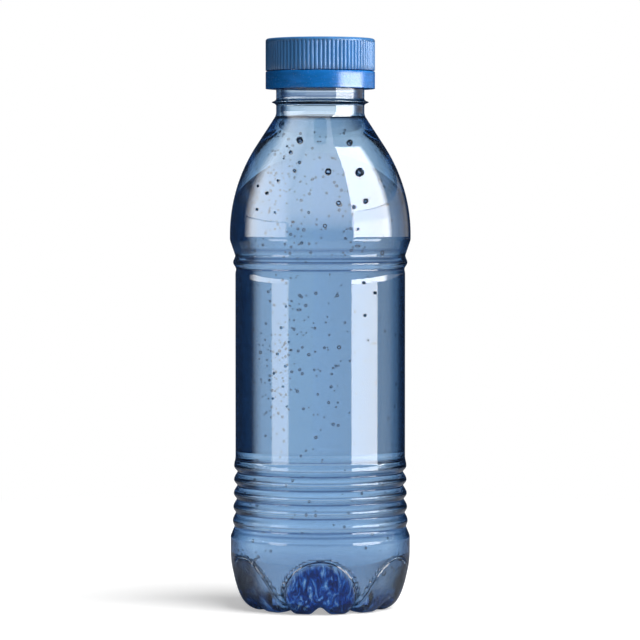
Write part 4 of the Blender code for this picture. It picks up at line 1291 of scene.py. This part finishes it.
def make_panels(settings):
    """The softboxes and flags that the bottle mirrors; the high ones light only the clear pieces."""
    navy = tuple(settings.mirrored)
    right, left, veil = settings.right_box, settings.left_box, settings.veil
    low = ((0.0, 1.0), (0.1255, 1.0), (0.1262, 0.0))
    upper_right = ((40.0, 0.0), (41.5, right * 1.65), (92.0, right * 1.5))
    upper_left = ((-95.0, left * 1.4), (-55.0, left * 1.3))
    boxes = (
        ("right_softbox", 0.32, ((40.0, 0.0), (41.5, right), (79.0, right), (81.0, 0.0)), low, 0.0),
        ("left_softbox", 0.32, ((-67.0, 0.0), (-64.5, left), (-43.0, left), (-40.0, 0.0)), low, 0.0),
        ("right_upper_box", 0.33, upper_right + ((100.0, 0.8), (140.0, 0.6), (150.0, 0.0)),
         ((0.1263, 1.0), (0.18, 1.0), (0.19, 0.8), (0.226, 0.8), (0.229, 0.0)), 0.0),
        ("left_upper_box", 0.33, ((-108.0, 0.0), (-94.0, left * 1.4), (-55.0, left * 1.3),
                                  (-44.0, left * 1.1), (-39.0, 0.0)),
         ((0.1263, 1.0), (0.181, 1.0), (0.186, 0.0)), 0.0),
        ("high_right_box", 1.0, upper_right + ((103.0, 0.0),),
         ((0.222, 0.0), (0.227, 1.0), (2.02, 1.0), (2.1, 0.0)), 0.506),
        ("high_left_box", 1.0, ((-114.0, 0.0),) + upper_left + ((-42.0, veil * 1.1), (-38.0, veil)),
         ((0.222, 0.0), (0.227, 1.0), (0.6, 0.95), (1.1, 0.6), (2.3, 0.4)), 0.0),
        ("veil", 1.0, ((-38.0, veil), (40.0, veil)),
         ((0.18, 0.0), (0.26, 0.45), (0.44, 1.0), (1.6, 0.9), (2.4, 0.5)), 0.0),
    )
    for i, (name, radius, across, up, slant) in enumerate(boxes):
        panel = curved_panel(name, radius, across, up, navy, slant=slant, hidden_from=("transmission",))
        if i >= 3:
            panel.light_linking.receiver_collection = clear_pieces()
    bright = 0.97
    flags = (
        ("right_flag", ((106.0, bright), (118.0, 0.0), (152.0, 0.0), (159.0, 0.75), (170.0, bright))),
        ("left_flag", ((-182.0, bright), (-168.0, 0.8), (-158.0, 0.45), (-142.0, 0.45), (-130.0, 0.0),
                       (-108.0, 0.0), (-96.0, bright))),
    )
    for name, across in flags:
        curved_panel(name, 0.5, across, ((0.0, 1.0), (0.2, 1.0), (0.3, 0.0)), FLAG_COLOUR, bright,
                     hidden_from=("glossy",))


def make_key(settings):
    """The broad key light, which neither shows in gloss nor through the clear pieces."""
    lamp = bpy.data.lights.new("key", "SUN")
    lamp.energy = settings.key
    lamp.angle = settings.key_breadth
    key = bpy.data.objects.new("key", lamp)
    key.visible_glossy = False
    key.visible_transmission = False
    bpy.context.scene.collection.objects.link(key)
    turn, rise = settings.key_turn, settings.key_rise
    towards = Vector((math.sin(turn) * math.cos(rise), -math.cos(turn) * math.cos(rise), math.sin(rise)))
    key.rotation_mode = "QUATERNION"
    key.rotation_quaternion = towards.to_track_quat("Z", "Y")


def make_camera(settings):
    """The camera at the photograph's angle."""
    lens = bpy.data.cameras.new("camera")
    lens.lens = settings.lens
    lens.clip_start, lens.clip_end = 0.01, 50.0
    camera = bpy.data.objects.new("camera", lens)
    bpy.context.scene.collection.objects.link(camera)
    camera.location = (CAMERA_ACROSS, -settings.camera_distance, settings.camera_height)
    aim = Vector((CAMERA_ACROSS, 0.0, settings.aim_height)) - camera.location
    camera.rotation_euler = aim.to_track_quat("-Z", "Y").to_euler()
    bpy.context.scene.camera = camera


class BOTTLE_OT_set_stage(bpy.types.Operator):
    """Set the floor, the studio light and the camera"""

    bl_idname = "petal_bottle.set_stage"
    bl_label = "Set Stage"

    def execute(self, context):
        settings = context.scene.petal_bottle.stage
        make_floor(settings)
        make_world(settings)
        make_panels(settings)
        add_shield(tuple(settings.mirrored))
        make_key(settings)
        make_camera(settings)
        context.scene.view_settings.view_transform = "Standard"
        return {"FINISHED"}


OPERATORS = (BOTTLE_OT_set_stage, BOTTLE_OT_blow_bottle, BOTTLE_OT_fill_water, BOTTLE_OT_add_bubbles,
             BOTTLE_OT_mould_cap, BOTTLE_OT_mould_band, BOTTLE_OT_stamp_liner)


class BOTTLE_PT_panel(bpy.types.Panel):
    """Sidebar panel with the bottle's settings and steps"""

    bl_idname = "BOTTLE_PT_panel"
    bl_label = "Water Bottle"
    bl_space_type = "VIEW_3D"
    bl_region_type = "UI"
    bl_category = "Bottle"

    def draw(self, context):
        settings = context.scene.petal_bottle
        for name in ("bottle", "water", "bubbles", "closure", "stage"):
            box = self.layout.box()
            box.label(text=name.title())
            group = getattr(settings, name)
            for prop in group.bl_rna.properties:
                if prop.identifier not in ("name", "rna_type"):
                    box.prop(group, prop.identifier)
        for step in OPERATORS:
            self.layout.operator(step.bl_idname)


CLASSES = (BottleProperties, WaterProperties, BubbleProperties, ClosureProperties, StageProperties,
           PetalBottleProperties) + OPERATORS + (BOTTLE_PT_panel,)


def register():
    """Register the classes and the settings."""
    for cls in CLASSES:
        bpy.utils.register_class(cls)
    bpy.types.Scene.petal_bottle = PointerProperty(type=PetalBottleProperties)


def unregister():
    """Remove the settings and the classes."""
    del bpy.types.Scene.petal_bottle
    for cls in reversed(CLASSES):
        bpy.utils.unregister_class(cls)


def main():
    """Build every piece."""
    register()
    steps = bpy.ops.petal_bottle
    steps.set_stage()
    steps.blow_bottle()
    steps.fill_water()
    steps.add_bubbles()
    steps.mould_cap()
    steps.mould_band()
    steps.stamp_liner()


if __name__ == "__main__":
    main()
